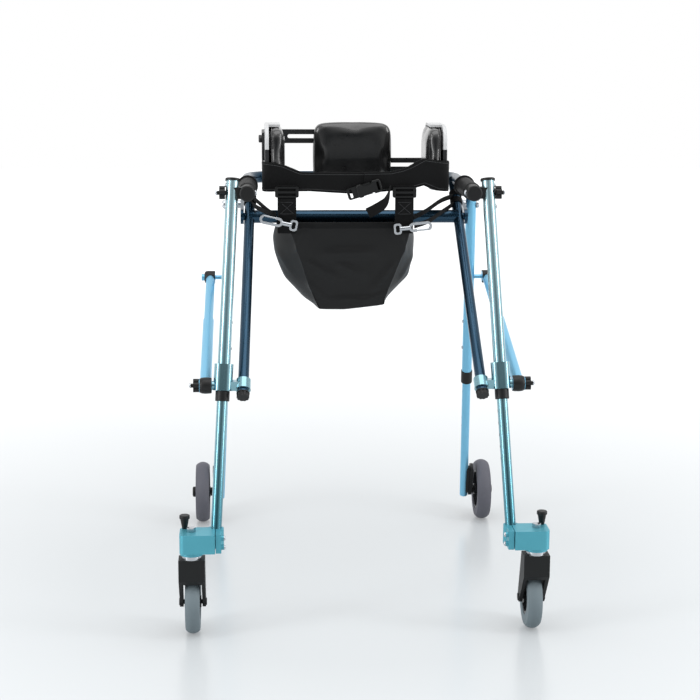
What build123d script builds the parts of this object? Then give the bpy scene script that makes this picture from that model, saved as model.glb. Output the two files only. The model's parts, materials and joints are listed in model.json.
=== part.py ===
from build123d import *
import math
import os

# Reverse walker with pelvic support: two leaning side frames of anodised tube, swivel casters at the open
# front, larger fixed wheels at the back, a hand grip on each side, hip pads, a belt and a fabric sling seat.
# Millimetres. +Z is up and the floor is Z = 0. -Y is the open front, +Y the closed back, -X the left side.
# The origin is on the floor at the middle of the footprint.

# ---- overall sizes ----
overall_length = 789.0
handle_height = 755.0
handle_spacing = 396.0

# ---- tubes ----
leg_od = 22.2
leg_extension_od = 19.0
rear_leg_od = 20.0
rear_extension_od = 16.9
brace_od = 19.0
brace_wall = 1.5
handlebar_od = 22.0
handlebar_wall = 1.8
crossbar_od = 24.0
crossbar_wall = 1.5
strut_od = 20.0
strut_inner_od = 17.0
extension_wall = 1.6
slide_fit = 0.05
seat_gap = 0.1
body_gap = 0.4

# ---- front legs: lean in the side view and splay in the front view ----
leg_lean = 14.0
leg_splay = 3.1
leg_top_rise = 20.0
leg_cap_d = 26.0
leg_cap_t = 5.0
leg_foot_setback = 18.5
adjust_hole_d = 5.5
adjust_pitch = 20.0
adjust_hole_count = 5
clamp_sleeve_top = 466.0
clamp_sleeve_bottom = 421.0
clamp_sleeve_w = 33.0
clamp_sleeve_d = 26.0
clamp_height = 9.0
clamp_arm_h = 16.0
clamp_arm_d = 18.0
clamp_ring_wall = 3.5
clamp_ring_length = 20.0
collar_od = 24.8
collar_length = 18.0
extension_overlap = 95.0

# ---- casters ----
caster_d = 110.0
caster_w = 25.0
caster_trail = 36.0
caster_hub_d = 62.0
caster_hub_w = 29.0
caster_axle_d = 8.0
axle_head_d = 13.0
axle_head_t = 1.5
fork_w = 45.0
fork_leg_t = 6.0
fork_crown_t = 12.0
fork_shroud_drop = 38.0
fork_leg_w = 20.0
fork_leg_tip = 8.0
fork_crown_half = 16.0
fork_corner_r = 7.0
fork_wheel_gap = 3.0
kingpin_d = 12.0
kingpin_nut_r = 7.5
kingpin_nut_h = 7.0
bearing_od = 40.0
bearing_race_step = 3.0
bearing_t = 7.0
bracket_bottom = 160.0
bracket_t = 33.0
swivel_offset = 41.0
swivel_setback = 25.5
bracket_outer_reach = 20.0
bracket_front_depth = 50.0
bracket_corner_r = 9.0
bracket_jaw_w = 10.0
bracket_boss_d = 28.0
bracket_split = 1.2
bracket_bolt_d = 5.0
bracket_bolt_head_d = 9.0
bracket_bolt_edge = 8.5
bracket_bolt_setback = 13.0
plunger_pin_d = 6.0
plunger_knob_d = 18.0
plunger_knob_t = 7.0
plunger_neck_top_d = 15.0
plunger_neck_foot_d = 9.0
plunger_neck_h = 17.0
plunger_x = 12.0
plunger_reach = 21.5
plunger_travel = 7.0

# ---- handlebar and hand grips ----
handlebar_back_y = 105.0
handlebar_bend_r = 50.0
grip_length = 114.0
grip_d = 32.0
grip_flange_d = 38.0
grip_flange_t = 6.0
grip_groove_count = 6
grip_groove_r = 2.2
handle_clamp_od = 28.0
handle_clamp_length = 28.0
handle_clamp_block_h = 20.0
handle_clamp_block_d = 18.0

# ---- braces and rear cross frame ----
brace_foot_x = 207.0
brace_top_x = 192.0
brace_top_y = 46.0
brace_tail = 16.0
brace_plug_teeth = 10
crossbar_z = 692.0
pivot_y = 75.0
pivot_drop = 50.0
pivot_plate_t = 6.0
pivot_plate_w = 28.0
pivot_bolt_d = 8.0

# ---- rear legs and wheels ----
rear_leg_x = 231.0
rear_leg_splay = 2.65
rear_leg_head = 17.0
rear_collar_top = 348.0
rear_collar_length = 28.0
rear_collar_od = 23.0
rear_extension_overlap = 85.0
rear_extension_bottom = 50.0
rear_wheel_d = 127.0
rear_wheel_w = 28.0
rear_hub_d = 84.0
rear_hub_w = 32.0
rear_axle_d = 10.0
rear_bracket_t = 6.0
rear_bracket_top = 124.0
rear_wheel_gap = 6.0

# ---- telescopic side struts ----
strut_gap = 9.0
strut_rear_z = 555.0
strut_outer_length = 250.0
strut_overlap = 100.0
strut_eye_d = 24.0
strut_eye_w = 21.6
knob_gap = 1.2
knob_screw_d = 8.0
star_knob_d = 24.0
star_knob_t = 10.0
star_lobes = 5
strut_bore_from = 26.0
strut_cap_d = 13.0

# ---- back pad, hip pads and their slotted bars ----
back_pad_w = 148.0
back_pad_h = 127.0
back_pad_t = 30.0
pad_top_z = 862.0
back_plate_t = 6.0
back_plate_margin = 6.0
rear_plate_t = 5.0
carrier_bolt_x = 38.0
carrier_bolt_d = 6.0
carrier_nut_d = 14.0
carrier_standoff = 22.0
saddle_w = 64.0
saddle_h = 32.0
slot_bar_t = 5.0
slot_bar_h = 26.0
slot_h = 7.5
slot_inner_x = 20.0
slot_outer_x = 122.0
left_bar_z = 834.0
right_bar_z = 780.0
hip_pad_inner_x = 131.0
hip_pad_t = 28.0
hip_pad_h = 116.0
hip_pad_top_z = 858.0
hip_pad_length = 130.0
hip_pad_back_y = 60.0
hip_pad_corner_r = 30.0
hip_shell_t = 7.0
hip_shell_rim = 5.0
hip_shell_drop = 38.0
hip_wing_drop = 25.0
hip_wing_length = 62.0
hip_bar_reach = 0.62
hip_bar_bend_r = 7.0
hip_bolt_d = 12.0
hip_bolt_pitch = 32.0

# ---- belt and sling seat ----
belt_h = 43.0
belt_t = 4.0
belt_bottom_z = 742.0
belt_bulge = 21.0
sling_top_z = 674.0
sling_bottom_z = 525.0
sling_wall = 5.0
sling_front_y = -80.0
sling_back_y = 58.0
sling_middle_x = -20.0
strap_w = 34.0
strap_t = 2.5
strap_left_x = -127.0
strap_right_x = 86.0
strap_overlap = 16.0
side_strap_d = 5.0
upper_loop_z = 728.0
lower_loop_z = 716.0
loop_width = 8.0
loop_wall = 2.5
buckle_x = 13.0
buckle_rise = 8.0
buckle_length = 64.0
buckle_h = 24.0
buckle_t = 9.0
buckle_tilt = 17.0
buckle_slot_w = 4.5
slider_h = 19.0
slider_rim = 4.5
slider_skin = 2.2
slider_z = 745.0
hook_length = 70.0
hook_eye_inset = 12.0
hook_w = 17.0
hook_wire = 4.5
hook_eye_w = 20.0
hook_barrel_d = 8.0
hook_gate_d = 3.2

LOW = (Align.CENTER, Align.CENTER, Align.MIN)


# ---- places worked out from the sizes above ----
front_face_y = -overall_length / 2
rear_axle_y = overall_length / 2 - rear_wheel_d / 2
swivel_y = front_face_y + swivel_setback
caster_axle_y = swivel_y + caster_trail
bracket_mid_z = bracket_bottom + bracket_t / 2
bracket_top_z = bracket_bottom + bracket_t
leg_foot_y = swivel_y + leg_foot_setback
plunger_y = math.sqrt(plunger_reach ** 2 - plunger_x ** 2)
lean_rate = math.tan(math.radians(leg_lean))
splay_rate = math.tan(math.radians(leg_splay))
leg_handle_x = handle_spacing / 2 + handle_clamp_od / 2 + leg_od / 2 + 1.5
leg_handle_y = leg_foot_y + (handle_height - bracket_mid_z) * lean_rate
swivel_x = leg_handle_x + (handle_height - bracket_mid_z) * splay_rate + swivel_offset


def leg_point(z):
    """Point on the right front leg's axis at height z."""
    drop = handle_height - z
    return Vector(leg_handle_x + drop * splay_rate, leg_handle_y - drop * lean_rate, z)


pivot_z = handle_height - pivot_drop
rear_lean_rate = (rear_axle_y - pivot_y) / (pivot_z - rear_wheel_d / 2)
rear_splay_rate = math.tan(math.radians(rear_leg_splay))


def rear_leg_point(z):
    """Point on the right rear leg's axis at height z."""
    drop = pivot_z - z
    return Vector(rear_leg_x + drop * rear_splay_rate, pivot_y + drop * rear_lean_rate, z)


clamp_z = clamp_sleeve_bottom + clamp_height
clamp_point = leg_point(clamp_z)
brace_foot = Vector(brace_foot_x, clamp_point.Y, clamp_z)
brace_top = Vector(brace_top_x, brace_top_y, handle_height)


def brace_point(z):
    """Point on the right brace's axis at height z."""
    return brace_foot + (brace_top - brace_foot) * ((z - clamp_z) / (handle_height - clamp_z))


strut_a = rear_leg_point(strut_rear_z)
strut_x = max(strut_a.X + rear_leg_od / 2, clamp_point.X + leg_od / 2) + strut_gap + strut_od / 2
strut_front = Vector(strut_x, clamp_point.Y, clamp_z)
strut_rear = Vector(strut_x, strut_a.Y, strut_rear_z)
strut_dir = (strut_rear - strut_front).normalized()
strut_length = (strut_rear - strut_front).length
handlebar_front_y = leg_handle_y - handle_clamp_length / 2
grip_front_y = leg_handle_y + handle_clamp_length / 2 + 2.0


# ---- small building blocks ----
def rod(start, end, diameter):
    """Solid round bar from one point to another."""
    length = (end - start).length
    return Plane(origin=start, z_dir=end - start) * Cylinder(diameter / 2, length, align=LOW)


def tube(start, end, outer, bore):
    """Round tube, open at both ends."""
    return rod(start, end, outer) - rod(start, end, bore)


def x_pin(x_from, x_to, y, z, diameter):
    """Round bar along X."""
    return rod(Vector(x_from, y, z), Vector(x_to, y, z), diameter)


def block(low, high):
    """Box between two corners."""
    size = Vector(*high) - Vector(*low)
    middle = (Vector(*high) + Vector(*low)) * 0.5
    return Pos(middle) * Box(size.X, size.Y, size.Z)


def turned(profile, axis):
    """Solid of revolution from a closed profile."""
    return revolve(profile, axis=axis, revolution_arc=360)


def star_knob(x_inner, y, z, screw_from, reach=5.0):
    """Lobed hand knob on a screw along X, facing +X."""
    lobe_d = star_knob_d * 0.42
    outline = Circle(star_knob_d * 0.36)
    for place in PolarLocations(star_knob_d / 2 - lobe_d / 2, star_lobes):
        outline += place * Circle(lobe_d / 2)
    head = Plane(origin=(x_inner, y, z), z_dir=(1, 0, 0)) * extrude(outline, star_knob_t)
    tip = x_pin(x_inner, x_inner + star_knob_t + reach, y, z, knob_screw_d * 0.9)
    return head + x_pin(screw_from, x_inner + 1.0, y, z, knob_screw_d) + tip


# ---- front legs ----
def front_leg_upper():
    top = leg_point(handle_height + leg_top_rise)
    bottom = leg_point(clamp_sleeve_bottom)
    leg = tube(top, bottom, leg_od, leg_extension_od + 2 * slide_fit)
    bolt_hole = x_pin(leg_handle_x - leg_od, leg_handle_x + leg_od, leg_handle_y, handle_height,
                      knob_screw_d + 2 * slide_fit)
    return leg - bolt_hole


def leg_cap():
    top = leg_point(handle_height + leg_top_rise)
    up = (top - leg_point(handle_height)).normalized()
    disc = rod(top + up * seat_gap, top + up * leg_cap_t, leg_cap_d)
    disc = fillet(disc.edges().sort_by(Axis.Z)[-1], 2.0)
    return disc + rod(top + up * leg_cap_t * 0.5, top - up * 10.0, leg_extension_od)


def clamp_sleeve():
    bottom = leg_point(clamp_sleeve_bottom)
    top = leg_point(clamp_sleeve_top)
    base = Plane(origin=bottom, x_dir=(1, 0, 0), z_dir=top - bottom)
    body = base * extrude(RectangleRounded(clamp_sleeve_w, clamp_sleeve_d, clamp_sleeve_d * 0.46),
                          (top - bottom).length)
    along = (brace_top - brace_foot).normalized()
    half_ring = along * (clamp_ring_length / 2)
    body += rod(brace_foot - half_ring, brace_foot + half_ring, brace_od + 2 * clamp_ring_wall)
    arm_low = (brace_foot.X, clamp_point.Y - clamp_arm_d / 2, clamp_z - clamp_arm_h / 2)
    arm_high = (clamp_point.X, clamp_point.Y + clamp_arm_d / 2, clamp_z + clamp_arm_h / 2)
    body += block(arm_low, arm_high)
    body += x_pin(clamp_point.X, strut_x - strut_eye_w / 2 - body_gap, clamp_point.Y, clamp_z, clamp_arm_h)
    body -= rod(bottom - (top - bottom), top + (top - bottom), leg_od + 2 * seat_gap)
    body -= rod(brace_foot - along * 30, brace_foot + along * 30, brace_od + 2 * seat_gap)
    hole_from = clamp_point.X + leg_od / 2 + 1.0
    return body - x_pin(hole_from, strut_x, clamp_point.Y, clamp_z, knob_screw_d + 2 * slide_fit)


def leg_collar():
    axis = (leg_point(0) - leg_point(100)).normalized()
    top = leg_point(clamp_sleeve_bottom) + axis * seat_gap
    ring = tube(top, top + axis * collar_length, collar_od, leg_extension_od + 2 * slide_fit)
    return chamfer(ring.edges().filter_by(GeomType.CIRCLE).sort_by(SortBy.RADIUS)[-2:], 0.8)


def front_leg_extension():
    top = leg_point(clamp_sleeve_bottom + extension_overlap)
    bottom = leg_point(bracket_bottom)
    body = tube(top, bottom, leg_extension_od, leg_extension_od - 2 * extension_wall)
    for step in range(adjust_hole_count):
        centre = leg_point(clamp_sleeve_bottom - collar_length - adjust_pitch * (step + 1))
        body -= x_pin(centre.X - leg_od, centre.X + leg_od, centre.Y, centre.Z, adjust_hole_d)
    return body


# ---- casters ----
def caster_bracket():
    """Split clamp round the leg foot, with an arm out to the swivel housing."""
    foot = leg_point(bracket_mid_z)
    arm = block((foot.X, front_face_y, bracket_bottom),
                (swivel_x + bracket_outer_reach, front_face_y + bracket_front_depth, bracket_top_z))
    arm = fillet(arm.edges().filter_by(Axis.Z).sort_by(Axis.X)[-2:], bracket_corner_r)
    boss = Pos(foot.X, foot.Y, bracket_bottom) * Cylinder(bracket_boss_d / 2, bracket_t, align=LOW)
    jaw = block((foot.X - bracket_jaw_w, front_face_y + 4, bracket_bottom),
                (foot.X + 1, foot.Y, bracket_top_z))
    body = arm + boss + jaw
    body -= rod(leg_point(bracket_bottom - 20), leg_point(bracket_top_z + 20), leg_extension_od + 2 * seat_gap)
    body -= block((foot.X - bracket_split / 2, front_face_y - 1, bracket_bottom - 1),
                  (foot.X + bracket_split / 2, foot.Y, bracket_top_z + 1))
    bolt_y = front_face_y + bracket_bolt_setback
    head_x = foot.X - bracket_jaw_w - 4.5
    for bolt_z in (bracket_bottom + bracket_bolt_edge, bracket_top_z - bracket_bolt_edge):
        body += x_pin(head_x + 1, foot.X + bracket_jaw_w, bolt_y, bolt_z, bracket_bolt_d)
        body += x_pin(head_x, foot.X - bracket_jaw_w, bolt_y, bolt_z, bracket_bolt_head_d)
    cup_bottom = bracket_bottom - bearing_t
    body += Pos(swivel_x, swivel_y, cup_bottom) * Cylinder(bearing_od / 2, bearing_t, align=LOW)
    through = bracket_t + bearing_t + 3
    body -= Pos(swivel_x, swivel_y, cup_bottom - 1) * Cylinder(kingpin_d / 2 + slide_fit, through, align=LOW)
    return body - Pos(swivel_x + plunger_x, swivel_y + plunger_y, cup_bottom - 1) * Cylinder(
        plunger_pin_d / 2 + slide_fit, through, align=LOW)


def kingpin():
    top = bracket_top_z + body_gap
    pin = Pos(swivel_x, swivel_y, crown_top() - fork_crown_t) * Cylinder(
        kingpin_d / 2, top - crown_top() + fork_crown_t + 1, align=LOW)
    nut = Pos(swivel_x, swivel_y, top) * extrude(RegularPolygon(kingpin_nut_r, 6), kingpin_nut_h)
    race = Pos(swivel_x, swivel_y, crown_top()) * Cylinder(
        bearing_od / 2 - bearing_race_step, bearing_t - 2 * body_gap, align=LOW)
    return pin + nut + race


def crown_top():
    """Height of the fork crown: the two bearing discs stand between it and the bracket."""
    return bracket_bottom - 2 * bearing_t


def caster_fork():
    top = crown_top()
    axle_z = caster_d / 2
    leg_tip = axle_z - fork_leg_tip
    half = fork_w / 2
    profile = Plane.YZ * make_face(Polyline(
        (swivel_y - fork_crown_half, top), (swivel_y + fork_crown_half, top), (caster_axle_y + fork_leg_w / 2, axle_z),
        (caster_axle_y + fork_leg_w / 2, leg_tip), (caster_axle_y - fork_leg_w / 2, leg_tip),
        (caster_axle_y - fork_leg_w / 2, axle_z), (swivel_y - fork_crown_half, top - fork_shroud_drop),
        close=True))
    body = Pos(swivel_x - half, 0, 0) * extrude(profile, fork_w, dir=(1, 0, 0))
    body = fillet(body.edges().filter_by(Axis.X).sort_by(Axis.Z)[:2], fork_corner_r)
    wheel_room = block((swivel_x - half + fork_leg_t, swivel_y - 10, leg_tip - 5),
                       (swivel_x + half - fork_leg_t, caster_axle_y + 60, top - fork_crown_t))
    shroud_cut = Pos(swivel_x, caster_axle_y, axle_z) * Rot(0, 90, 0) * Cylinder(
        caster_d / 2 + fork_wheel_gap, fork_w - 2 * fork_leg_t)
    body -= wheel_room
    body -= shroud_cut
    axle = x_pin(swivel_x - half, swivel_x + half, caster_axle_y, axle_z, caster_axle_d)
    head_x = half + axle_head_t
    heads = [x_pin(swivel_x + side * half, swivel_x + side * head_x, caster_axle_y, axle_z, axle_head_d)
             for side in (-1, 1)]
    body = body + axle + heads
    return body - Pos(swivel_x, swivel_y, top - fork_crown_t - 1) * Cylinder(
        kingpin_d / 2 + seat_gap, fork_crown_t + 2, align=LOW)


def wheel_tyre(x, y, z, diameter, width, bore, crown):
    """Solid tyre with a rounded tread, turned about X."""
    r_out = diameter / 2
    r_in = bore / 2
    half = width / 2
    shoulder = r_out - crown
    outline = Line((-half, r_in), (-half, shoulder))
    tread = ThreePointArc((-half, shoulder), (0, r_out), (half, shoulder))
    outline = outline + tread + Line((half, shoulder), (half, r_in)) + Line((half, r_in), (-half, r_in))
    return Pos(x, y, z) * turned(make_face(outline), Axis.X)


def wheel_hub(x, y, z, diameter, width, bore, spokes):
    """Dished hub with a rim, round windows and a wide boss, turned about X."""
    r_out = diameter / 2 - seat_gap
    half = width / 2
    web = width * 0.17
    rim_half = width * 0.40
    rim_t = 4.5
    boss_r = bore / 2 + 6.5
    outline = Polyline((-half, bore / 2), (-half, boss_r), (-web, boss_r), (-web, r_out - rim_t),
                       (-rim_half, r_out - rim_t), (-rim_half, r_out), (rim_half, r_out),
                       (rim_half, r_out - rim_t), (web, r_out - rim_t), (web, boss_r), (half, boss_r),
                       (half, bore / 2), close=True)
    hub = turned(make_face(outline), Axis.X)
    window_ring = (boss_r + r_out - rim_t) / 2
    window_r = (r_out - rim_t - boss_r) / 2 - 1.5
    for turn in range(spokes):
        angle = 2 * math.pi * turn / spokes
        hub -= x_pin(-half, half, window_ring * math.cos(angle), window_ring * math.sin(angle), 2 * window_r)
    return Pos(x, y, z) * hub


def caster_tyre():
    return wheel_tyre(swivel_x, caster_axle_y, caster_d / 2, caster_d, caster_w, caster_hub_d, 6.0)


def caster_hub():
    return wheel_hub(swivel_x, caster_axle_y, caster_d / 2, caster_hub_d, caster_hub_w,
                     caster_axle_d + 2 * slide_fit, 5)


def lock_plunger():
    """Spring plunger that locks the swivel, with its pull knob on top."""
    pin_bottom = bracket_bottom - bearing_t + 1.0
    top = bracket_top_z + body_gap
    place = Pos(swivel_x + plunger_x, swivel_y + plunger_y)
    pin = Pos(0, 0, pin_bottom) * Cylinder(plunger_pin_d / 2, top - pin_bottom + 6, align=LOW)
    neck = Pos(0, 0, top) * Cone(plunger_neck_foot_d / 2, plunger_neck_top_d / 2, plunger_neck_h, align=LOW)
    knob = Pos(0, 0, top + plunger_neck_h) * Cylinder(plunger_knob_d / 2, plunger_knob_t, align=LOW)
    return place * (pin + neck + fillet(knob.edges(), plunger_knob_t / 4))


# ---- handlebar ----
def handlebar():
    half = handle_spacing / 2
    path = FilletPolyline((half, handlebar_front_y, handle_height), (half, handlebar_back_y, handle_height),
                          (-half, handlebar_back_y, handle_height), (-half, handlebar_front_y, handle_height),
                          radius=handlebar_bend_r)
    end = Plane(origin=path @ 0, z_dir=path % 0)
    outer = sweep(end * Circle(handlebar_od / 2), path=path)
    inner = sweep(end * Circle(handlebar_od / 2 - handlebar_wall), path=path)
    bar = outer - inner
    for side in (-1, 1):
        bar -= x_pin(side * (half - handlebar_od), side * (half + handlebar_od), leg_handle_y, handle_height,
                     knob_screw_d + 2 * slide_fit)
    return bar


def handle_clamp():
    half = handle_spacing / 2
    front = Vector(half, handlebar_front_y - 4, handle_height)
    back = Vector(half, grip_front_y - 1, handle_height)
    body = rod(front, back, handle_clamp_od)
    body = fillet(body.edges().sort_by(Axis.Y)[0], 3.0)
    half_depth = handle_clamp_block_d / 2
    half_rise = handle_clamp_block_h / 2
    body += block((half, leg_handle_y - half_depth, handle_height - half_rise),
                  (leg_handle_x, leg_handle_y + half_depth, handle_height + half_rise))
    body -= rod(Vector(half, handlebar_front_y - seat_gap, handle_height), back + Vector(0, 5, 0),
                handlebar_od + 2 * seat_gap)
    body -= rod(leg_point(handle_height - 60), leg_point(handle_height + 60), leg_od + 2 * seat_gap)
    return body - x_pin(half, leg_handle_x, leg_handle_y, handle_height, knob_screw_d + 2 * slide_fit)


def handle_knob():
    return star_knob(leg_handle_x + leg_od / 2 + knob_gap, leg_handle_y, handle_height,
                     handle_spacing / 2 + handlebar_od / 2 - handlebar_wall - 2)


def grip():
    half = handle_spacing / 2
    bore_r = handlebar_od / 2 + seat_gap
    r = grip_d / 2
    front = grip_front_y
    back = front + grip_length
    outline = Polyline((bore_r, front), (r - 2, front), (r, front + 3), (r, back - grip_flange_t),
                       (grip_flange_d / 2, back - grip_flange_t), (grip_flange_d / 2, back), (bore_r, back),
                       close=True)
    profile = make_face(outline)
    pitch = (grip_length - grip_flange_t - 8) / grip_groove_count
    for turn in range(grip_groove_count):
        profile -= Pos(r + grip_groove_r * 0.45, front + 4 + pitch * (turn + 0.5)) * Circle(grip_groove_r)
    return Pos(half, 0, handle_height) * turned(profile, Axis.Y)


# ---- braces and rear cross frame ----
def brace():
    along = (brace_top - brace_foot).normalized()
    body = tube(brace_foot - along * brace_tail, brace_top, brace_od, brace_od - 2 * brace_wall)
    half = handle_spacing / 2
    return body - rod(Vector(half, brace_top_y - 60, handle_height), Vector(half, brace_top_y + 60, handle_height),
                      handlebar_od + 2 * seat_gap)


def brace_plug():
    along = (brace_top - brace_foot).normalized()
    end = brace_foot - along * brace_tail
    washer = rod(end - along * seat_gap, end - along * 2, brace_od + 4)
    outline = Circle(brace_od / 2 + 1.5)
    for place in PolarLocations(brace_od / 2 + 2.5, brace_plug_teeth):
        outline -= place * Circle(2.2)
    knob = Plane(origin=end - along * 2, z_dir=-along) * extrude(outline, 8)
    return washer + knob + rod(end - along * 3, end + along * 8, brace_od - 2 * brace_wall - 2 * seat_gap)


def crossbar():
    place = brace_point(crossbar_z)
    bar = tube(Vector(-place.X, place.Y, crossbar_z), Vector(place.X, place.Y, crossbar_z), crossbar_od,
               crossbar_od - 2 * crossbar_wall)
    for side in (-1, 1):
        foot = Vector(side * brace_foot.X, brace_foot.Y, brace_foot.Z)
        top = Vector(side * brace_top.X, brace_top.Y, brace_top.Z)
        bar -= rod(foot, top, brace_od + 2 * seat_gap)
    return bar


def plate_inner_x():
    return brace_point(crossbar_z).X + brace_od / 2 + 1.2


def pivot_plate():
    start = brace_point(crossbar_z)
    reach = math.hypot(pivot_y - start.Y, pivot_z - crossbar_z)
    tilt = math.degrees(math.atan2(pivot_z - crossbar_z, pivot_y - start.Y))
    outline = SlotCenterToCenter(reach, pivot_plate_w)
    middle = Vector(plate_inner_x(), (start.Y + pivot_y) / 2, (crossbar_z + pivot_z) / 2)
    base = Plane(origin=middle, x_dir=(0, 1, 0), z_dir=(1, 0, 0)).rotated((tilt, 0, 0))
    plate = base * extrude(outline, pivot_plate_t)
    plate += x_pin(start.X, plate_inner_x() + 1, start.Y, crossbar_z, 14.0)
    plate -= rod(brace_foot, brace_top, brace_od + 2 * seat_gap)
    return plate


def pivot_bolt():
    inner = plate_inner_x() + pivot_plate_t + seat_gap
    leg_inner = rear_leg_x - rear_leg_od / 2
    leg_outer = rear_leg_x + rear_leg_od / 2
    spacer = x_pin(inner, leg_inner - body_gap, pivot_y, pivot_z, 15.0)
    shaft = x_pin(inner + 1, leg_outer + 6, pivot_y, pivot_z, pivot_bolt_d)
    head = x_pin(leg_outer + body_gap, leg_outer + 6, pivot_y, pivot_z, 15.0)
    return spacer + shaft + fillet(head.edges().sort_by(Axis.X)[-1], 3.0)


# ---- rear legs ----
def rear_leg_upper():
    axis = (rear_leg_point(0) - rear_leg_point(100)).normalized()
    pivot = rear_leg_point(pivot_z)
    top = pivot - axis * rear_leg_head
    bottom = rear_leg_point(rear_collar_top)
    body = fillet(rod(top, bottom, rear_leg_od).edges().sort_by(Axis.Z)[-1], 3.0)
    body -= rod(pivot + axis * 16, bottom + axis * 5, rear_extension_od + 2 * slide_fit)
    return body - x_pin(pivot.X - 20, pivot.X + 20, pivot_y, pivot_z, pivot_bolt_d + 2 * slide_fit)


def rear_collar():
    axis = (rear_leg_point(0) - rear_leg_point(100)).normalized()
    top = rear_leg_point(rear_collar_top) + axis * seat_gap
    ring = tube(top, top + axis * rear_collar_length, rear_collar_od, rear_extension_od + 2 * slide_fit)
    return chamfer(ring.edges().filter_by(GeomType.CIRCLE).sort_by(SortBy.RADIUS)[-2:], 0.8)


def rear_leg_extension():
    top = rear_leg_point(rear_collar_top + rear_extension_overlap)
    bottom = rear_leg_point(rear_extension_bottom)
    body = tube(top, bottom, rear_extension_od, rear_extension_od - 2 * extension_wall)
    for step in range(adjust_hole_count):
        centre = rear_leg_point(rear_collar_top - rear_collar_length - adjust_pitch * (step + 1))
        body -= x_pin(centre.X - rear_leg_od, centre.X + rear_leg_od, centre.Y, centre.Z, adjust_hole_d)
    return body


def rear_plate_x():
    return rear_leg_point(rear_extension_bottom).X + rear_extension_od / 2 + 0.6


def rear_wheel_x():
    return rear_plate_x() + rear_bracket_t + rear_wheel_gap + rear_hub_w / 2


def rear_bracket():
    axle_z = rear_wheel_d / 2
    top = rear_leg_point(rear_bracket_top - 12)
    reach = math.hypot(top.Y - rear_axle_y, top.Z - axle_z)
    tilt = math.degrees(math.atan2(top.Z - axle_z, top.Y - rear_axle_y))
    middle = Vector(rear_plate_x(), (top.Y + rear_axle_y) / 2, (top.Z + axle_z) / 2)
    base = Plane(origin=middle, x_dir=(0, 1, 0), z_dir=(1, 0, 0)).rotated((tilt, 0, 0))
    body = base * extrude(SlotCenterToCenter(reach, 26), rear_bracket_t)
    cradle = Plane(origin=middle - Vector(7, 0, 0), x_dir=(0, 1, 0), z_dir=(1, 0, 0)).rotated((tilt, 0, 0))
    body += cradle * extrude(SlotCenterToCenter(reach, 16), 8)
    body -= rod(rear_leg_point(rear_bracket_top + 60), rear_leg_point(0), rear_extension_od + 2 * seat_gap)
    hub_inner = rear_wheel_x() - rear_hub_w / 2
    body += x_pin(rear_plate_x() + 1, hub_inner - body_gap, rear_axle_y, axle_z, 18.0)
    body += x_pin(rear_plate_x() + 1, rear_wheel_x() + rear_hub_w / 2 + 4, rear_axle_y, axle_z, rear_axle_d)
    cap = x_pin(rear_wheel_x() + rear_hub_w / 2 + body_gap, rear_wheel_x() + rear_hub_w / 2 + 6, rear_axle_y,
                axle_z, 22.0)
    return body + fillet(cap.edges().sort_by(Axis.X)[-1], 3.0)


def rear_tyre():
    return wheel_tyre(rear_wheel_x(), rear_axle_y, rear_wheel_d / 2, rear_wheel_d, rear_wheel_w, rear_hub_d, 6.5)


def rear_hub():
    return wheel_hub(rear_wheel_x(), rear_axle_y, rear_wheel_d / 2, rear_hub_d, rear_hub_w,
                     rear_axle_d + 2 * slide_fit, 6)


# ---- struts ----
def strut_outer():
    half = strut_eye_w / 2
    body = rod(strut_front + strut_dir * 6, strut_front + strut_dir * strut_outer_length, strut_od)
    body += x_pin(strut_x - half, strut_x + half, strut_front.Y, strut_front.Z, strut_eye_d)
    body -= rod(strut_front + strut_dir * strut_bore_from, strut_front + strut_dir * (strut_outer_length + 5),
                strut_inner_od + 2 * slide_fit)
    return body - x_pin(strut_x - 30, strut_x + 30, strut_front.Y, strut_front.Z, knob_screw_d + 2 * slide_fit)


def strut_inner():
    start = strut_front + strut_dir * (strut_outer_length - strut_overlap)
    body = rod(start, strut_rear - strut_dir * 4, strut_inner_od)
    body -= rod(start - strut_dir, strut_rear - strut_dir * 24, strut_inner_od - 2 * extension_wall)
    half = strut_eye_w / 2 - 1.5
    body += x_pin(strut_x - half, strut_x + half, strut_rear.Y, strut_rear.Z, strut_eye_d - 2)
    leg_outer = strut_a.X + rear_leg_od / 2
    body += x_pin(leg_outer + body_gap, strut_x, strut_rear.Y, strut_rear.Z, pivot_bolt_d)
    return body + x_pin(strut_x, strut_x + half + 8, strut_rear.Y, strut_rear.Z, strut_cap_d)


def strut_knob():
    return star_knob(strut_x + strut_eye_w / 2 + body_gap, strut_front.Y, strut_front.Z,
                     clamp_point.X + leg_od / 2 + 2.0)


# ---- back pad and hip pads ----
plate_front_y = handlebar_back_y - handlebar_od / 2 - carrier_standoff
bar_front_y = plate_front_y + back_plate_t + 1.0
carrier_front_y = bar_front_y + slot_bar_t + 1.0


def back_pad():
    low = (-back_pad_w / 2, plate_front_y - back_pad_t, pad_top_z - back_pad_h)
    high = (back_pad_w / 2, plate_front_y - seat_gap, pad_top_z)
    pad = block(low, high)
    pad = fillet(pad.edges().filter_by(Axis.Y), 14.0)
    return fillet(pad.faces().sort_by(Axis.Y)[0].edges(), 9.0)


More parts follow.
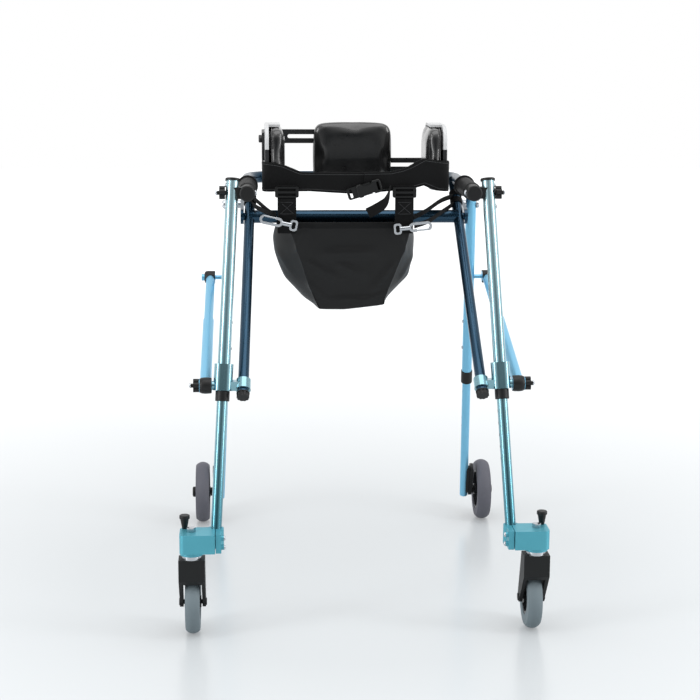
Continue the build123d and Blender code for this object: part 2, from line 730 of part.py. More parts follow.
def pad_carrier():
    """Back plate, rear plate and the clamp on the handlebar, held together by the two bar bolts."""
    half = back_pad_w / 2 - back_plate_margin
    low_z = pad_top_z - back_pad_h + back_plate_margin
    plate = block((-half, plate_front_y, low_z),
                  (half, plate_front_y + back_plate_t, pad_top_z - back_plate_margin))
    plate = fillet(plate.edges().filter_by(Axis.Y), 10.0)
    rear = block((-half + 8, carrier_front_y, low_z + 4), (half - 8, carrier_front_y + rear_plate_t, pad_top_z - 10))
    body = plate + fillet(rear.edges().filter_by(Axis.Y), 8.0)
    nut_y = carrier_front_y + rear_plate_t
    for bolt_x, bar_z in ((-carrier_bolt_x, left_bar_z), (carrier_bolt_x, right_bar_z)):
        start = Vector(bolt_x, plate_front_y + 1, bar_z)
        body += rod(start, Vector(bolt_x, nut_y + 6, bar_z), carrier_bolt_d)
        body += rod(Vector(bolt_x, nut_y - 1, bar_z), Vector(bolt_x, nut_y + 4, bar_z), carrier_nut_d)
    saddle = block((-saddle_w / 2, carrier_front_y + 1, handle_height - saddle_h / 2),
                   (saddle_w / 2, handlebar_back_y + 15, handle_height + saddle_h / 2))
    body += fillet(saddle.edges().filter_by(Axis.X).sort_by(Axis.Y)[-2:], 8.0)
    return body - x_pin(-saddle_w / 2 - 1, saddle_w / 2 + 1, handlebar_back_y, handle_height,
                        handlebar_od + 2 * seat_gap)


def shell_outer_x():
    return hip_pad_inner_x + hip_pad_t + seat_gap + hip_shell_t


def hip_bar(bar_z):
    """Slotted flat bar, bent forward round the outside of the hip shell."""
    inner_x = slot_inner_x - 12
    arm_x = shell_outer_x() + seat_gap
    front_y = hip_pad_back_y - hip_pad_length * hip_bar_reach
    back_y = bar_front_y + slot_bar_t
    outline = Polyline((inner_x, bar_front_y), (arm_x, bar_front_y), (arm_x, front_y),
                       (arm_x + slot_bar_t, front_y), (arm_x + slot_bar_t, back_y), (inner_x, back_y), close=True)
    face = make_face(outline)
    face = fillet(face.vertices().sort_by_distance((arm_x, bar_front_y, 0))[0], hip_bar_bend_r)
    face = fillet(face.vertices().sort_by_distance((arm_x + slot_bar_t, back_y, 0))[0],
                  hip_bar_bend_r + slot_bar_t)
    bar = Pos(0, 0, bar_z - slot_bar_h / 2) * extrude(face, slot_bar_h)
    middle = (slot_inner_x + slot_outer_x) / 2
    slot_place = Plane(origin=(middle, bar_front_y - 1, bar_z), x_dir=(1, 0, 0), z_dir=(0, 1, 0))
    bar -= slot_place * extrude(SlotOverall(slot_outer_x - slot_inner_x, slot_h), slot_bar_t + 2)
    bar += block((arm_x, front_y, bar_z - slot_bar_h / 2 - hip_wing_drop),
                 (arm_x + slot_bar_t, front_y + hip_wing_length, bar_z))
    bar += hip_board()
    face_x = arm_x + slot_bar_t
    for bolt_y in (front_y + 14, front_y + 14 + hip_bolt_pitch):
        head = x_pin(face_x - 1, face_x + 6, bolt_y, bar_z, hip_bolt_d)
        bar += fillet(head.edges().sort_by(Axis.X)[-1], 2.0)
    return bar


def hip_outline(x, grow):
    """Side outline of the hip pad, grown all round, in the plane at x."""
    middle_y = hip_pad_back_y - hip_pad_length / 2
    middle_z = hip_pad_top_z - hip_pad_h / 2
    place = Plane(origin=(x, middle_y, middle_z), x_dir=(0, 1, 0), z_dir=(1, 0, 0))
    return place * RectangleRounded(hip_pad_length + 2 * grow, hip_pad_h + 2 * grow, hip_pad_corner_r + grow)


def hip_pad():
    pad = extrude(hip_outline(hip_pad_inner_x, 0), hip_pad_t)
    return fillet(pad.faces().sort_by(Axis.X)[0].edges(), 11.0)


def hip_shell():
    """Moulded cap whose lip wraps over the top and back of the cushion and grips its backing board."""
    lip_x = hip_pad_inner_x + 7.0
    edge_x = hip_pad_inner_x + hip_pad_t + seat_gap
    cap_bottom = hip_pad_top_z - hip_shell_drop
    outer = extrude(hip_outline(lip_x, hip_shell_rim), shell_outer_x() - lip_x)
    outer = fillet(outer.faces().sort_by(Axis.X)[-1].edges(), 3.0)
    outer -= extrude(hip_outline(lip_x - 1, body_gap), edge_x - lip_x + 1)
    ahead = block((lip_x - 1, -400, 0), (edge_x, hip_pad_back_y - hip_pad_length + 34, 1000))
    return outer - ahead - block((lip_x - 1, -400, 0), (400, 400, cap_bottom))


def hip_board():
    """Backing board behind the cushion, below the moulded cap."""
    edge_x = hip_pad_inner_x + hip_pad_t + seat_gap
    arm_x = shell_outer_x() + seat_gap
    board = extrude(hip_outline(edge_x, 0), arm_x + 0.5 - edge_x)
    board = fillet(board.faces().sort_by(Axis.X)[-1].edges(), 2.0)
    return board - block((0, -400, hip_pad_top_z - hip_shell_drop - body_gap), (400, 400, 1000))


# ---- belt, sling seat and straps ----
belt_end_x = hip_pad_inner_x + hip_pad_t + 4.0
belt_end_y = hip_pad_back_y - hip_pad_length - 7.0


def belt():
    """Padded webbing that runs in front of both hip pads."""
    centre_y = belt_end_y - belt_bulge + belt_radius()
    ring = Pos(0, centre_y) * (Circle(belt_radius() + belt_t / 2) - Circle(belt_radius() - belt_t / 2))
    window = Pos(0, belt_end_y - belt_bulge) * Rectangle(2 * belt_end_x, 2 * belt_bulge)
    return Pos(0, 0, belt_bottom_z) * extrude(ring & window, belt_h)


def belt_radius():
    return (belt_end_x ** 2 + belt_bulge ** 2) / (2 * belt_bulge)


def belt_y(x):
    """Middle of the belt's thickness at x, at its front face side."""
    return belt_end_y - belt_bulge + belt_radius() - math.sqrt(belt_radius() ** 2 - x ** 2)


def buckle():
    """Side release buckle: the housing's open sides show the prongs, and each end has a bar for the webbing."""
    tilt = math.radians(buckle_tilt)
    back_y = belt_end_y - belt_bulge - belt_t / 2 - seat_gap
    place = Plane(origin=(buckle_x, back_y, belt_bottom_z + buckle_rise),
                  x_dir=(math.cos(tilt), 0, math.sin(tilt)), z_dir=(0, -1, 0))
    housing = Pos(buckle_length * 0.14, 0) * extrude(
        RectangleRounded(buckle_length * 0.72, buckle_h, buckle_h / 5), buckle_t)
    housing = fillet(housing.faces().sort_by(Axis.Z)[-1].edges(), 2.0)
    insert = Pos(-buckle_length * 0.3, 0, 1) * extrude(
        RectangleRounded(buckle_length * 0.4, buckle_h - 3, buckle_h / 6), buckle_t - 3)
    body = housing + insert
    window = Ellipse(buckle_length * 0.17, buckle_h * 0.23)
    for side in (-1, 1):
        body -= Pos(buckle_length * 0.1, side * buckle_h / 2, -1) * extrude(window, buckle_t + 2)
        body += Pos(buckle_length * 0.06, side * (buckle_h / 2 - 3.4), 2) * extrude(
            SlotOverall(buckle_length * 0.3, 4.0), buckle_t - 4)
    for end_x in (-buckle_length / 2 + 7, buckle_length / 2 - 6):
        body -= Pos(end_x, 0, -1) * extrude(RectangleRounded(buckle_slot_w, buckle_h - 8, 1.5), buckle_t + 2)
    return place * body


def strap_front_y(x):
    """Front face of an upright strap whose middle is at x: it leaves room for its slider behind it."""
    nearest_x = abs(x) - strap_w / 2 - slider_rim - body_gap
    return belt_y(nearest_x) - belt_t / 2 - slider_skin - 2 * body_gap - strap_t


def strap_slider(x):
    """Three bar slider round an upright strap."""
    front_y = strap_front_y(x)
    half = strap_w / 2
    body = block((x - half - slider_rim, front_y - body_gap - slider_skin, slider_z - slider_h / 2),
                 (x + half + slider_rim, front_y + strap_t + body_gap + slider_skin, slider_z + slider_h / 2))
    body = fillet(body.edges().filter_by(Axis.Y), 3.0)
    body -= block((x - half - body_gap, front_y - body_gap, slider_z - slider_h),
                  (x + half + body_gap, front_y + strap_t + body_gap, slider_z + slider_h))
    for shift in (-1, 1):
        middle = slider_z + shift * slider_h / 4.4
        body -= block((x - half + 1, front_y - 10, middle - 2.4), (x + half - 1, front_y, middle + 2.4))
    return body


def sling_sections(shrink):
    """Rounded rectangles of the seat at four heights, wide at the top and narrow at the bottom."""
    depth = sling_back_y - sling_front_y
    middle_y = (sling_front_y + sling_back_y) / 2
    height = sling_top_z - sling_bottom_z
    sections = []
    for level, width, deep, corner in ((0.0, 152, 0.62, 26), (0.32, 216, 0.82, 30), (0.78, 256, 0.98, 30),
                                       (1.0, 250, 1.0, 26)):
        z = sling_bottom_z + level * height
        shape = RectangleRounded(width - 2 * shrink, depth * deep - 2 * shrink, corner)
        sections.append(Pos(sling_middle_x, middle_y, z) * shape)
    return sections


def sling():
    outer = loft(sling_sections(0))
    inner = loft(sling_sections(sling_wall))
    floor = block((-300, -300, sling_bottom_z - 1), (300, 300, sling_bottom_z + sling_wall))
    return outer - (inner - floor)


def seat_straps():
    """Two upright webbings from belt to seat, and thin side straps from the seat to the braces."""
    group = []
    for x in (strap_left_x, strap_right_x):
        front_y = strap_front_y(x)
        group.append(block((x - strap_w / 2, front_y, sling_top_z - strap_overlap - 6),
                           (x + strap_w / 2, front_y + strap_t, belt_bottom_z + strap_overlap)))
    for side, strap_x in ((-1, strap_left_x), (1, strap_right_x)):
        along = brace_axis(side)
        for loop_z, drop in ((upper_loop_z, 12.0), (lower_loop_z, 16.0)):
            anchor = brace_point(loop_z)
            anchor = Vector(side * anchor.X, anchor.Y, anchor.Z)
            start = Vector(strap_x + side * (strap_w / 2 + 2.0), sling_front_y - 8.0, loop_z - drop)
            away = (start - anchor).normalized()
            strap = rod(start, anchor + away * (brace_od / 2 + loop_wall / 2), side_strap_d)
            half_loop = along * (loop_width / 2)
            strap += rod(anchor - half_loop, anchor + half_loop, brace_od + 2 * (seat_gap + loop_wall))
            group.append(strap - rod(anchor - along * 30, anchor + along * 30, brace_od + 2 * seat_gap))
    return Compound(children=group)


def brace_axis(side):
    along = (brace_top - brace_foot).normalized()
    return Vector(side * along.X, along.Y, along.Z)


def snap_hook():
    """Swivel snap hook lying along +X from its eye, flat in the XY plane, with a sprung gate on one side."""
    eye = extrude(RectangleRounded(14, hook_eye_w, 5) - RectangleRounded(14 - 7, hook_eye_w - 7, 3), hook_wire)
    jaw_from = 20.0
    jaw_length = hook_length - jaw_from - 7
    jaw_x = jaw_from + jaw_length / 2
    jaw = SlotOverall(jaw_length, hook_w) - SlotOverall(jaw_length - 2 * hook_wire, hook_w - 2 * hook_wire)
    jaw -= Pos(4, -hook_w / 2) * Rectangle(jaw_length * 0.5, hook_w * 0.8)
    body = eye + Pos(jaw_x, 0) * extrude(jaw, hook_wire)
    middle = hook_wire / 2
    barrel = rod(Vector(5, 0, middle), Vector(jaw_from + 2, 0, middle), hook_barrel_d)
    gate_y = -hook_w / 2 + hook_wire / 2
    gate = rod(Vector(jaw_x - jaw_length * 0.28, gate_y, middle), Vector(jaw_x + jaw_length * 0.34, gate_y, middle),
               hook_gate_d)
    return body + barrel + gate


def snap_hooks():
    """One snap hook on each side, from the upright strap out to the thin side straps."""
    clear = (hook_barrel_d - hook_wire) / 2 + body_gap
    group = []
    for strap_x, side, z, rise in ((strap_left_x, -1, 685.0, 0.22), (strap_right_x, 1, 679.0, 0.1)):
        eye = (strap_x - side * hook_eye_inset, strap_front_y(strap_x) - clear, z)
        place = Plane(origin=eye, x_dir=(side, 0, rise), z_dir=(0, -1, 0))
        group.append(place * snap_hook())
    return Compound(children=group)


# ---- write every piece ----
def save(shape, node):
    export_step(shape, f"parts/{node}.step")


def save_pair(make, node):
    right = make()
    save(right, f"right_{node}")
    save(mirror(right, about=Plane.YZ), f"left_{node}")


def both_sides(*makers):
    right = [make() for make in makers]
    return Compound(children=right + [mirror(shape, about=Plane.YZ) for shape in right])


os.makedirs("parts", exist_ok=True)

for make, node in (
        (front_leg_upper, "front_leg"), (clamp_sleeve, "clamp_sleeve"), (front_leg_extension, "leg_extension"),
        (caster_bracket, "caster_bracket"), (kingpin, "kingpin"), (caster_fork, "caster_fork"),
        (caster_tyre, "caster_tyre"), (caster_hub, "caster_hub"), (lock_plunger, "lock_plunger"),
        (grip, "grip"), (handle_knob, "handle_knob"), (brace, "brace"), (rear_leg_upper, "rear_leg"),
        (rear_collar, "rear_collar"), (rear_leg_extension, "rear_leg_extension"),
        (rear_bracket, "rear_bracket"), (rear_tyre, "rear_tyre"), (rear_hub, "rear_hub"),
        (strut_outer, "strut_outer"), (strut_inner, "strut_inner"), (strut_knob, "strut_knob"),
        (hip_pad, "hip_pad"), (hip_shell, "hip_shell")):
    save_pair(make, node)

save(hip_bar(right_bar_z), "right_hip_bar")
save(mirror(hip_bar(left_bar_z), about=Plane.YZ), "left_hip_bar")

save(both_sides(leg_cap, leg_collar, brace_plug), "tube_plugs")
save(both_sides(handle_clamp), "handle_clamps")
save(both_sides(pivot_bolt), "pivot_bolts")
save(handlebar(), "handlebar")
save(Compound(children=[crossbar(), pivot_plate(), mirror(pivot_plate(), about=Plane.YZ)]), "rear_crossbar")
save(pad_carrier(), "pad_carrier")
save(back_pad(), "back_pad")
save(belt(), "belt")
save(Compound(children=[buckle(), strap_slider(strap_left_x), strap_slider(strap_right_x)]), "buckle")
save(sling(), "sling_seat")
save(seat_straps(), "seat_straps")
save(snap_hooks(), "snap_hooks")
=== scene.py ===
# %% [markdown]
# # A reverse walker
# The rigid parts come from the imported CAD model, each already in its place. This lesson gives every one of
# them its finish and makes the soft goods: three vinyl cushions, a padded belt, webbing and a cloth seat.
# Lengths are worked out in millimetres and turned to metres only where a mesh is made.

# %% Load the frame
import json
import math

import bpy
import bmesh
import numpy as np
from mathutils import Matrix, Vector


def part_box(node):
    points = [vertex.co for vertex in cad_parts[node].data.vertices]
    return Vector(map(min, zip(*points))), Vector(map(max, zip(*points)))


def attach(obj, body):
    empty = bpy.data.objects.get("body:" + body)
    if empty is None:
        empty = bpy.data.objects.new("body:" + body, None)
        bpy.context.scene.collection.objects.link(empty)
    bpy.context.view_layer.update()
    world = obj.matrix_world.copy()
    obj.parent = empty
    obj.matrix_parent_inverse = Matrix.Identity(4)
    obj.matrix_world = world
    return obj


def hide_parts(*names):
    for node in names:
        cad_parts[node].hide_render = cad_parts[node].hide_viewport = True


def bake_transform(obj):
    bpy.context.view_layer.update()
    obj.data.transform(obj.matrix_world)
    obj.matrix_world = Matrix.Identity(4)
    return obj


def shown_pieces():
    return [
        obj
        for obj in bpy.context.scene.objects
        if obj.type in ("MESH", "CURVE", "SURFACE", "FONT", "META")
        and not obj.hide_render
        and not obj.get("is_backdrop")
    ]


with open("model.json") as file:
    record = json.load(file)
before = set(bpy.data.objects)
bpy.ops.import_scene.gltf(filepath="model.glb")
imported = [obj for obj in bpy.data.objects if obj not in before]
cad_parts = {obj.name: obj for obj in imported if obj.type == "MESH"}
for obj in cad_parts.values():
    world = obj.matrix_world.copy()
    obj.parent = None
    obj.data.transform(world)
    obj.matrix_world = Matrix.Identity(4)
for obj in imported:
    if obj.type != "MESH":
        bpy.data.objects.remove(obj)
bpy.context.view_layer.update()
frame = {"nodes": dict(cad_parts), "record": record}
scene = bpy.context.scene
MM = 0.001
SIDES = {"left": -1, "right": 1}

# %% [markdown]
# ## Camera, floor and light
# The object stands in a white studio and is seen from a standing adult's eye height, three metres away.
# A long lens keeps both side frames nearly parallel. The camera's turn is written as three angles, because
# its heading, its tilt and its small roll can each be changed without touching the others.

# %% Camera
heading, tilt, roll = 0.059, 0.194, 0.005
camera_place = (-0.189146, -3.108724, 1.046259)
# The focal length and the frame's width, both in the same unit.
lens_length, frame_width = 1665.442, 700
forward = Vector((math.sin(heading) * math.cos(tilt), math.cos(heading) * math.cos(tilt), -math.sin(tilt)))
level_right = Vector((math.cos(heading), -math.sin(heading), 0))
level_up = level_right.cross(forward)
right = math.cos(roll) * level_right + math.sin(roll) * level_up
up = math.cos(roll) * level_up - math.sin(roll) * level_right
camera = bpy.data.objects.new("camera", bpy.data.cameras.new("camera"))
scene.collection.objects.link(camera)
camera.data.sensor_width = 36
camera.data.lens = lens_length / frame_width * camera.data.sensor_width
camera.matrix_world = Matrix.Translation(camera_place) @ Matrix((right, up, -forward)).transposed().to_4x4()
scene.camera = camera
scene.view_settings.view_transform = "Standard"
print("camera lens", round(camera.data.lens, 1), "mm")


# %% [markdown]
# Colours are written as the hex values that a paint chart gives. Those are sRGB, and a shader works in
# linear light, so one function turns one into the other. A second one adds a shader node: its options, its
# numbers and its links all go in together, so that a material reads as a list of nodes.

# %% Colour and node helpers
def linear(code):
    """sRGB hex to linear RGBA: each channel c becomes c/12.92 below 0.04, else ((c + 0.055)/1.055)^2.4."""
    c = np.array([int(code[i:i + 2], 16) for i in (1, 3, 5)]) / 255
    c = np.where(c <= 0.04045, c / 12.92, ((c + 0.055) / 1.055) ** 2.4)
    return (*c.tolist(), 1.0)


def add_node(tree, kind, inputs=None, feeds=None, **settings):
    """Add one node. Each of its inputs takes a number, a colour or a (node, output) link, and feeds is an
    (output, socket) pair that sends one of its outputs on. Mix has its colours at 6 and 7 and gives 2."""
    node = tree.nodes.new("ShaderNode" + kind)
    for key, value in settings.items():
        setattr(node, key, value)
    for key, value in (inputs or {}).items():
        if isinstance(value, tuple) and isinstance(value[0], bpy.types.Node):
            tree.links.new(value[0].outputs[value[1]], node.inputs[key])
        else:
            node.inputs[key].default_value = value
    if feeds:
        output, socket = feeds
        tree.links.new(node.outputs[output], socket)
    return node


def per_metre(size_mm):
    """How often a pattern of this size repeats in a metre: 1000 divided by its size in mm."""
    return 1000 / size_mm


print("mid grey #808080 is", round(linear("#808080")[0], 3), "in linear light")

# %% [markdown]
# Polished tubes show what stands round them. The studio is bright behind and at the sides and dimmer toward
# the viewer, so that each tube gets a dark middle between two bright lines. Walls could be built for this,
# but a world colour that depends on direction does the same. Three softboxes add the long highlights.

# %% Studio
world = bpy.data.worlds.new("white_studio")
scene.world = world
world.use_nodes = True
tree = world.node_tree
direction = add_node(tree, "TexCoord")
split = add_node(tree, "SeparateXYZ", {"Vector": (direction, "Generated")})
front_to_back = add_node(tree, "MapRange", {
    "Value": (split, "Y"), "From Min": -0.99, "From Max": -0.72, "To Min": 0.0, "To Max": 1.0})
shade = add_node(tree, "Mix", {
    "Factor": (front_to_back, "Result"), 6: linear("#3c4347"), 7: linear("#ffffff")}, data_type="RGBA")
# Seen directly, the studio is plain white all round, so that every side has the same background.
seen = add_node(tree, "LightPath")
background = tree.nodes["Background"]
add_node(tree, "Mix", {"Factor": (seen, "Is Camera Ray"), 6: (shade, 2), 7: linear("#ffffff")},
         (2, background.inputs["Color"]), data_type="RGBA")
background.inputs["Strength"].default_value = 1.0
print("world:", len(tree.nodes), "nodes")


# %% Softboxes
def softbox(name, place, target, size, watts):
    """A rectangular light at place, turned so that its -Z runs to target, and hidden from the camera."""
    light = bpy.data.lights.new(name, "AREA")
    light.shape = "RECTANGLE"
    light.size, light.size_y = size
    light.energy = watts
    lamp = bpy.data.objects.new(name, light)
    scene.collection.objects.link(lamp)
    lamp.location = place
    lamp.rotation_euler = (Vector(target) - Vector(place)).to_track_quat("-Z", "Y").to_euler()
    lamp.visible_camera = False


softbox("left_softbox", (-2.3, -1.4, 1.3), (0, 0, 0.45), (0.6, 2.4), 30)
softbox("right_softbox", (2.4, -1.1, 1.4), (0, 0, 0.45), (0.6, 2.4), 30)
softbox("overhead_softbox", (0.2, -0.5, 2.9), (0, 0, 0.3), (2.4, 1.8), 24)
print("lights:", [light.name for light in bpy.data.lights])


# %% [markdown]
# ## Surfaces from grids
# Every new piece is a grid of points: rows run one way over the surface and columns the other. Straps could
# also be curves with a bevel, but a grid can twist and taper freely. The maker below joins the grid into
# four-sided faces, closes it where it goes round, and writes real distances along both ways into a UV map,
# so that a weave can follow the cloth.

# %% Grid surface
def surface(name, grid, around=False, ring=False, ends=False, sharp=40):
    """Points grid[row, column] in mm become a mesh. around joins the last column to the first, ring joins
    the last row to the first, and ends closes the first and last rows with a fan round their middles. The
    UV of a point is the distance run along its row and along its column, in metres."""
    grid = np.asarray(grid, float)
    full = np.concatenate([grid, grid[:, :1]], 1) if around else grid
    full = np.concatenate([full, full[:1]], 0) if ring else full
    rows, columns = grid.shape[:2]
    index = np.arange(rows * columns).reshape(rows, columns)
    index = np.concatenate([index, index[:, :1]], 1) if around else index
    index = np.concatenate([index, index[:1]], 0) if ring else index
    u = np.zeros(full.shape[:2])
    v = np.zeros(full.shape[:2])
    v[:, 1:] = np.linalg.norm(np.diff(full, axis=1), axis=2).cumsum(1)
    u[1:] = np.linalg.norm(np.diff(full, axis=0), axis=2).mean(1).cumsum()[:, None]
    uv = np.stack([u, v], -1) * MM
    corners = [(slice(None, -1), slice(None, -1)), (slice(1, None), slice(None, -1)),
               (slice(1, None), slice(1, None)), (slice(None, -1), slice(1, None))]
    quads = np.stack([index[c] for c in corners], -1).reshape(-1, 4)
    quad_uv = np.stack([uv[c] for c in corners], -2).reshape(-1, 2)
    points = grid.reshape(-1, 3)
    faces = quads.tolist()
    if ends:
        middles = np.array([grid[0].mean(0), grid[-1].mean(0)])
        for row, middle in ((index[0], len(points)), (index[-1], len(points) + 1)):
            fan = np.stack([row[:-1], row[1:], np.full(len(row) - 1, middle)], -1)
            faces += fan.tolist()
        points = np.concatenate([points, middles])
    mesh = bpy.data.meshes.new(name)
    mesh.from_pydata((points * MM).tolist(), [], faces)
    layer = mesh.uv_layers.new(name="cloth")
    flat = np.zeros((len(mesh.loops), 2), np.float32)
    flat[:len(quad_uv)] = quad_uv
    layer.uv.foreach_set("vector", flat.ravel())
    return finished(name, mesh, sharp)


def finished(name, mesh, sharp=40):
    """Weld the mesh, turn its faces outward, smooth it, and put it in an object at the origin."""
    work = bmesh.new()
    work.from_mesh(mesh)
    bmesh.ops.remove_doubles(work, verts=work.verts, dist=1e-6)
    bmesh.ops.recalc_face_normals(work, faces=work.faces)
    work.to_mesh(mesh)
    work.free()
    mesh.shade_smooth()
    mesh.set_sharp_from_angle(angle=math.radians(sharp))
    piece = bpy.data.objects.new(name, mesh)
    scene.collection.objects.link(piece)
    return piece


print("surface maker ready: quads, closed seams and a UV map in metres")


# %% [markdown]
# Most pieces are a section carried along a line: a strap is a thin rounded strip, piping is a circle. The
# line is drawn through a few points with a curve that passes through all of them, so that a strap goes
# exactly where its points say.

# %% A smooth line
def smooth_through(points, count=60, closed=False):
    """Catmull-Rom line through the points: each stretch is a cubic whose slope at a point is half the step
    between that point's two neighbours."""
    p = np.asarray(points, float)
    n = len(p)
    if closed:
        t = np.linspace(0, n, count, endpoint=False)
        i = np.floor(t).astype(int)
        around = [p[(i + k - 1) % n] for k in range(4)]
    else:
        q = np.concatenate([[2 * p[0] - p[1]], p, [2 * p[-1] - p[-2]]])
        t = np.linspace(0, n - 1, count)
        i = np.minimum(np.floor(t).astype(int), n - 2)
        around = [q[i + k] for k in range(4)]
    f = (t - i)[:, None]
    a, b, c, d = around
    square, cube = 2 * a - 5 * b + 4 * c - d, 3 * b - a - 3 * c + d
    return 0.5 * (2 * b + (c - a) * f + square * f ** 2 + cube * f ** 3)


print("a line through 3 points:", smooth_through([(0, 0), (1, 1), (2, 0)], 5).round(2).tolist())


# %% Sections
def flat_section(width, thickness, power=5.0, count=28):
    """Superellipse |a/w|^p + |b/t|^p = 1: a strip with softly rounded edges."""
    angle = np.linspace(0, 2 * np.pi, count, endpoint=False)
    c, s = np.cos(angle), np.sin(angle)
    ring = np.stack([np.sign(c) * np.abs(c) ** (2 / power), np.sign(s) * np.abs(s) ** (2 / power)], -1)
    return ring * np.array([width / 2, thickness / 2])


def round_section(diameter, count):
    """A circle is the superellipse of power 2 with equal sides."""
    return flat_section(diameter, diameter, 2.0, count)


print("a strap's section has", len(flat_section(34, 1.8)), "points")


# %% A section carried along a line
def carry(section, path, across, closed=False, widths=None):
    """Each point of the section (a, b) lands at path + a * across + b * (path direction x across), where
    across is first turned square to the path. widths scales a from place to place."""
    path = np.asarray(path, float)
    step = (np.roll(path, -1, 0) - np.roll(path, 1, 0)) if closed else np.gradient(path, axis=0)
    step = step / np.linalg.norm(step, axis=1, keepdims=True)
    across = np.broadcast_to(np.asarray(across, float), path.shape)
    across = across - (across * step).sum(1, keepdims=True) * step
    across = across / np.linalg.norm(across, axis=1, keepdims=True)
    normal = np.cross(step, across)
    a, b = section[:, 0], section[:, 1]
    scale = np.ones(len(path)) if widths is None else np.asarray(widths, float)
    sideways = across[:, None] * (scale[:, None] * a)[..., None]
    return path[:, None] + sideways + normal[:, None] * b[None, :, None]


def strip(name, points, width, thickness, across, count):
    """A flat strap through the points, with closed ends. across is one direction, or one for each point."""
    path = smooth_through(points, count)
    if np.ndim(across) == 2:
        across = smooth_through(across, count)
    return surface(name, carry(flat_section(width, thickness), path, across), around=True, ends=True)


def spun(name, outline, at, axis, count=40):
    """Each (distance d, radius r) of the outline becomes the circle at + d * axis + r * (cos, sin)."""
    outline = np.asarray(outline, float)
    axis = np.asarray(axis, float) / np.linalg.norm(axis)
    side = np.cross(axis, (0.31, 0.27, 0.91))
    side = side / np.linalg.norm(side)
    other = np.cross(axis, side)
    angle = np.linspace(0, 2 * np.pi, count, endpoint=False)
    wheel = np.cos(angle)[:, None] * side + np.sin(angle)[:, None] * other
    grid = np.asarray(at) + outline[:, :1, None] * axis + outline[:, 1:, None] * wheel[None]
    return surface(name, grid, around=True, ends=True, sharp=35)


print("makers ready: carry, strip and spun")

# %% [markdown]
# ## Metal finishes
# The tubes are drawn aluminium, polished and anodised: the clear oxide layer holds the dye, so the metal
# shows through it and its highlights keep the colour. A metallic base with a clear coat gives both. Drawing
# leaves faint lines along a tube, about a tenth of a millimetre apart. They come from a stretched noise in
# the roughness and are drawn at 1.2 mm or coarser, because they would be too fine to show.

# %% A plain material
def new_material(name, color, roughness, metallic=0.0, **more):
    """A Principled material with its plain numbers set on the shader. Returns the material and its tree."""
    material = bpy.data.materials.new(name)
    material.use_nodes = True
    shader = material.node_tree.nodes["Principled BSDF"]
    shader.inputs["Base Color"].default_value = linear(color)
    shader.inputs["Roughness"].default_value = roughness
    shader.inputs["Metallic"].default_value = metallic
    for key, value in more.items():
        shader.inputs[key.replace("_", " ")].default_value = value
    return material, material.node_tree, shader


print("base colours are linear; #a9c8cf is", [round(c, 2) for c in linear("#a9c8cf")[:3]])


# %% Anodised tube
def anodised_tube(name, dye, deep, rough, line_mm=1.2, metallic=0.88, coat=0.35, foot=None):
    """Lines run along z. The colour is the two tones mixed by a broad noise. With a foot colour it goes
    over to that one in a straight ratio of height, from none at 0.7 m to all of it at 0.2 m. The foot colour
    is painted shade: a darker reflection painted low on the tube."""
    material, tree, shader = new_material(name, dye, rough, metallic, Coat_Weight=coat, Coat_Roughness=0.08)
    place = add_node(tree, "TexCoord")
    along = add_node(tree, "Mapping", {
        "Vector": (place, "Object"), "Scale": (per_metre(line_mm), per_metre(line_mm), per_metre(60))})
    lines = add_node(tree, "TexNoise", {"Vector": (along, "Vector"), "Scale": 1.0, "Detail": 3.0})
    cloud = add_node(tree, "TexNoise", {
        "Vector": (place, "Object"), "Scale": per_metre(70), "Detail": 2.0})
    color = add_node(tree, "Mix", {"Factor": (cloud, "Fac"), 6: linear(deep), 7: linear(dye)},
                     data_type="RGBA")
    # Painted shade: toward the floor the colour goes over to the foot colour, a darker reflection painted on.
    if foot:
        parts = add_node(tree, "SeparateXYZ", {"Vector": (place, "Object")})
        depth = add_node(tree, "MapRange", {
            "Value": (parts, "Z"), "From Min": 0.2, "From Max": 0.7, "To Min": 1.0, "To Max": 0.0})
        color = add_node(tree, "Mix", {"Factor": (depth, "Result"), 6: (color, 2), 7: linear(foot)},
                         data_type="RGBA")
    tree.links.new(color.outputs[2], shader.inputs["Base Color"])
    add_node(tree, "MapRange", {
        "Value": (lines, "Fac"), "From Min": 0.3, "From Max": 0.7, "To Min": rough * 0.88,
        "To Max": rough * 1.15}, ("Result", shader.inputs["Roughness"]))
    add_node(tree, "Bump", {"Height": (lines, "Fac"), "Strength": 0.02, "Distance": 0.01 * MM},
             ("Normal", shader.inputs["Normal"]))
    return material


finish = {}
# Bright aqua dye, polished: sharp highlights that are nearly white.
# The foot colour #3a7f8f is painted shade, a darker reflection painted on the lower legs.
finish["anodised_aqua"] = anodised_tube("polished_aqua_anodising", "#a9c8cf", "#97bac3", 0.17,
                                        foot="#3a7f8f", coat=0.8)
# The navy dye is thick and the polish softer, so that the tube is dark between its highlights.
finish["anodised_navy"] = anodised_tube("satin_navy_anodising", "#264459", "#1c374a", 0.26, coat=0.2)
# Sky blue tubes were blasted before dyeing, which spreads the highlight over half of the tube.
finish["anodised_sky"] = anodised_tube("blasted_sky_anodising", "#83c6e6", "#76b9da", 0.36, 2.0, 0.7, 0.15)
print("anodised finishes:", [k for k in finish])

# %% [markdown]
# The caster brackets are cast aluminium. Tumbling and bead blasting leave a fine even grain of about half a
# millimetre, drawn at 0.9 mm so that it shows, and the dye comes out flatter than on the tubes. The steel
# parts are zinc plated and bright. One maker serves all of them and the plastics too, because they differ
# only in colour, gloss and the size and depth of the grain.

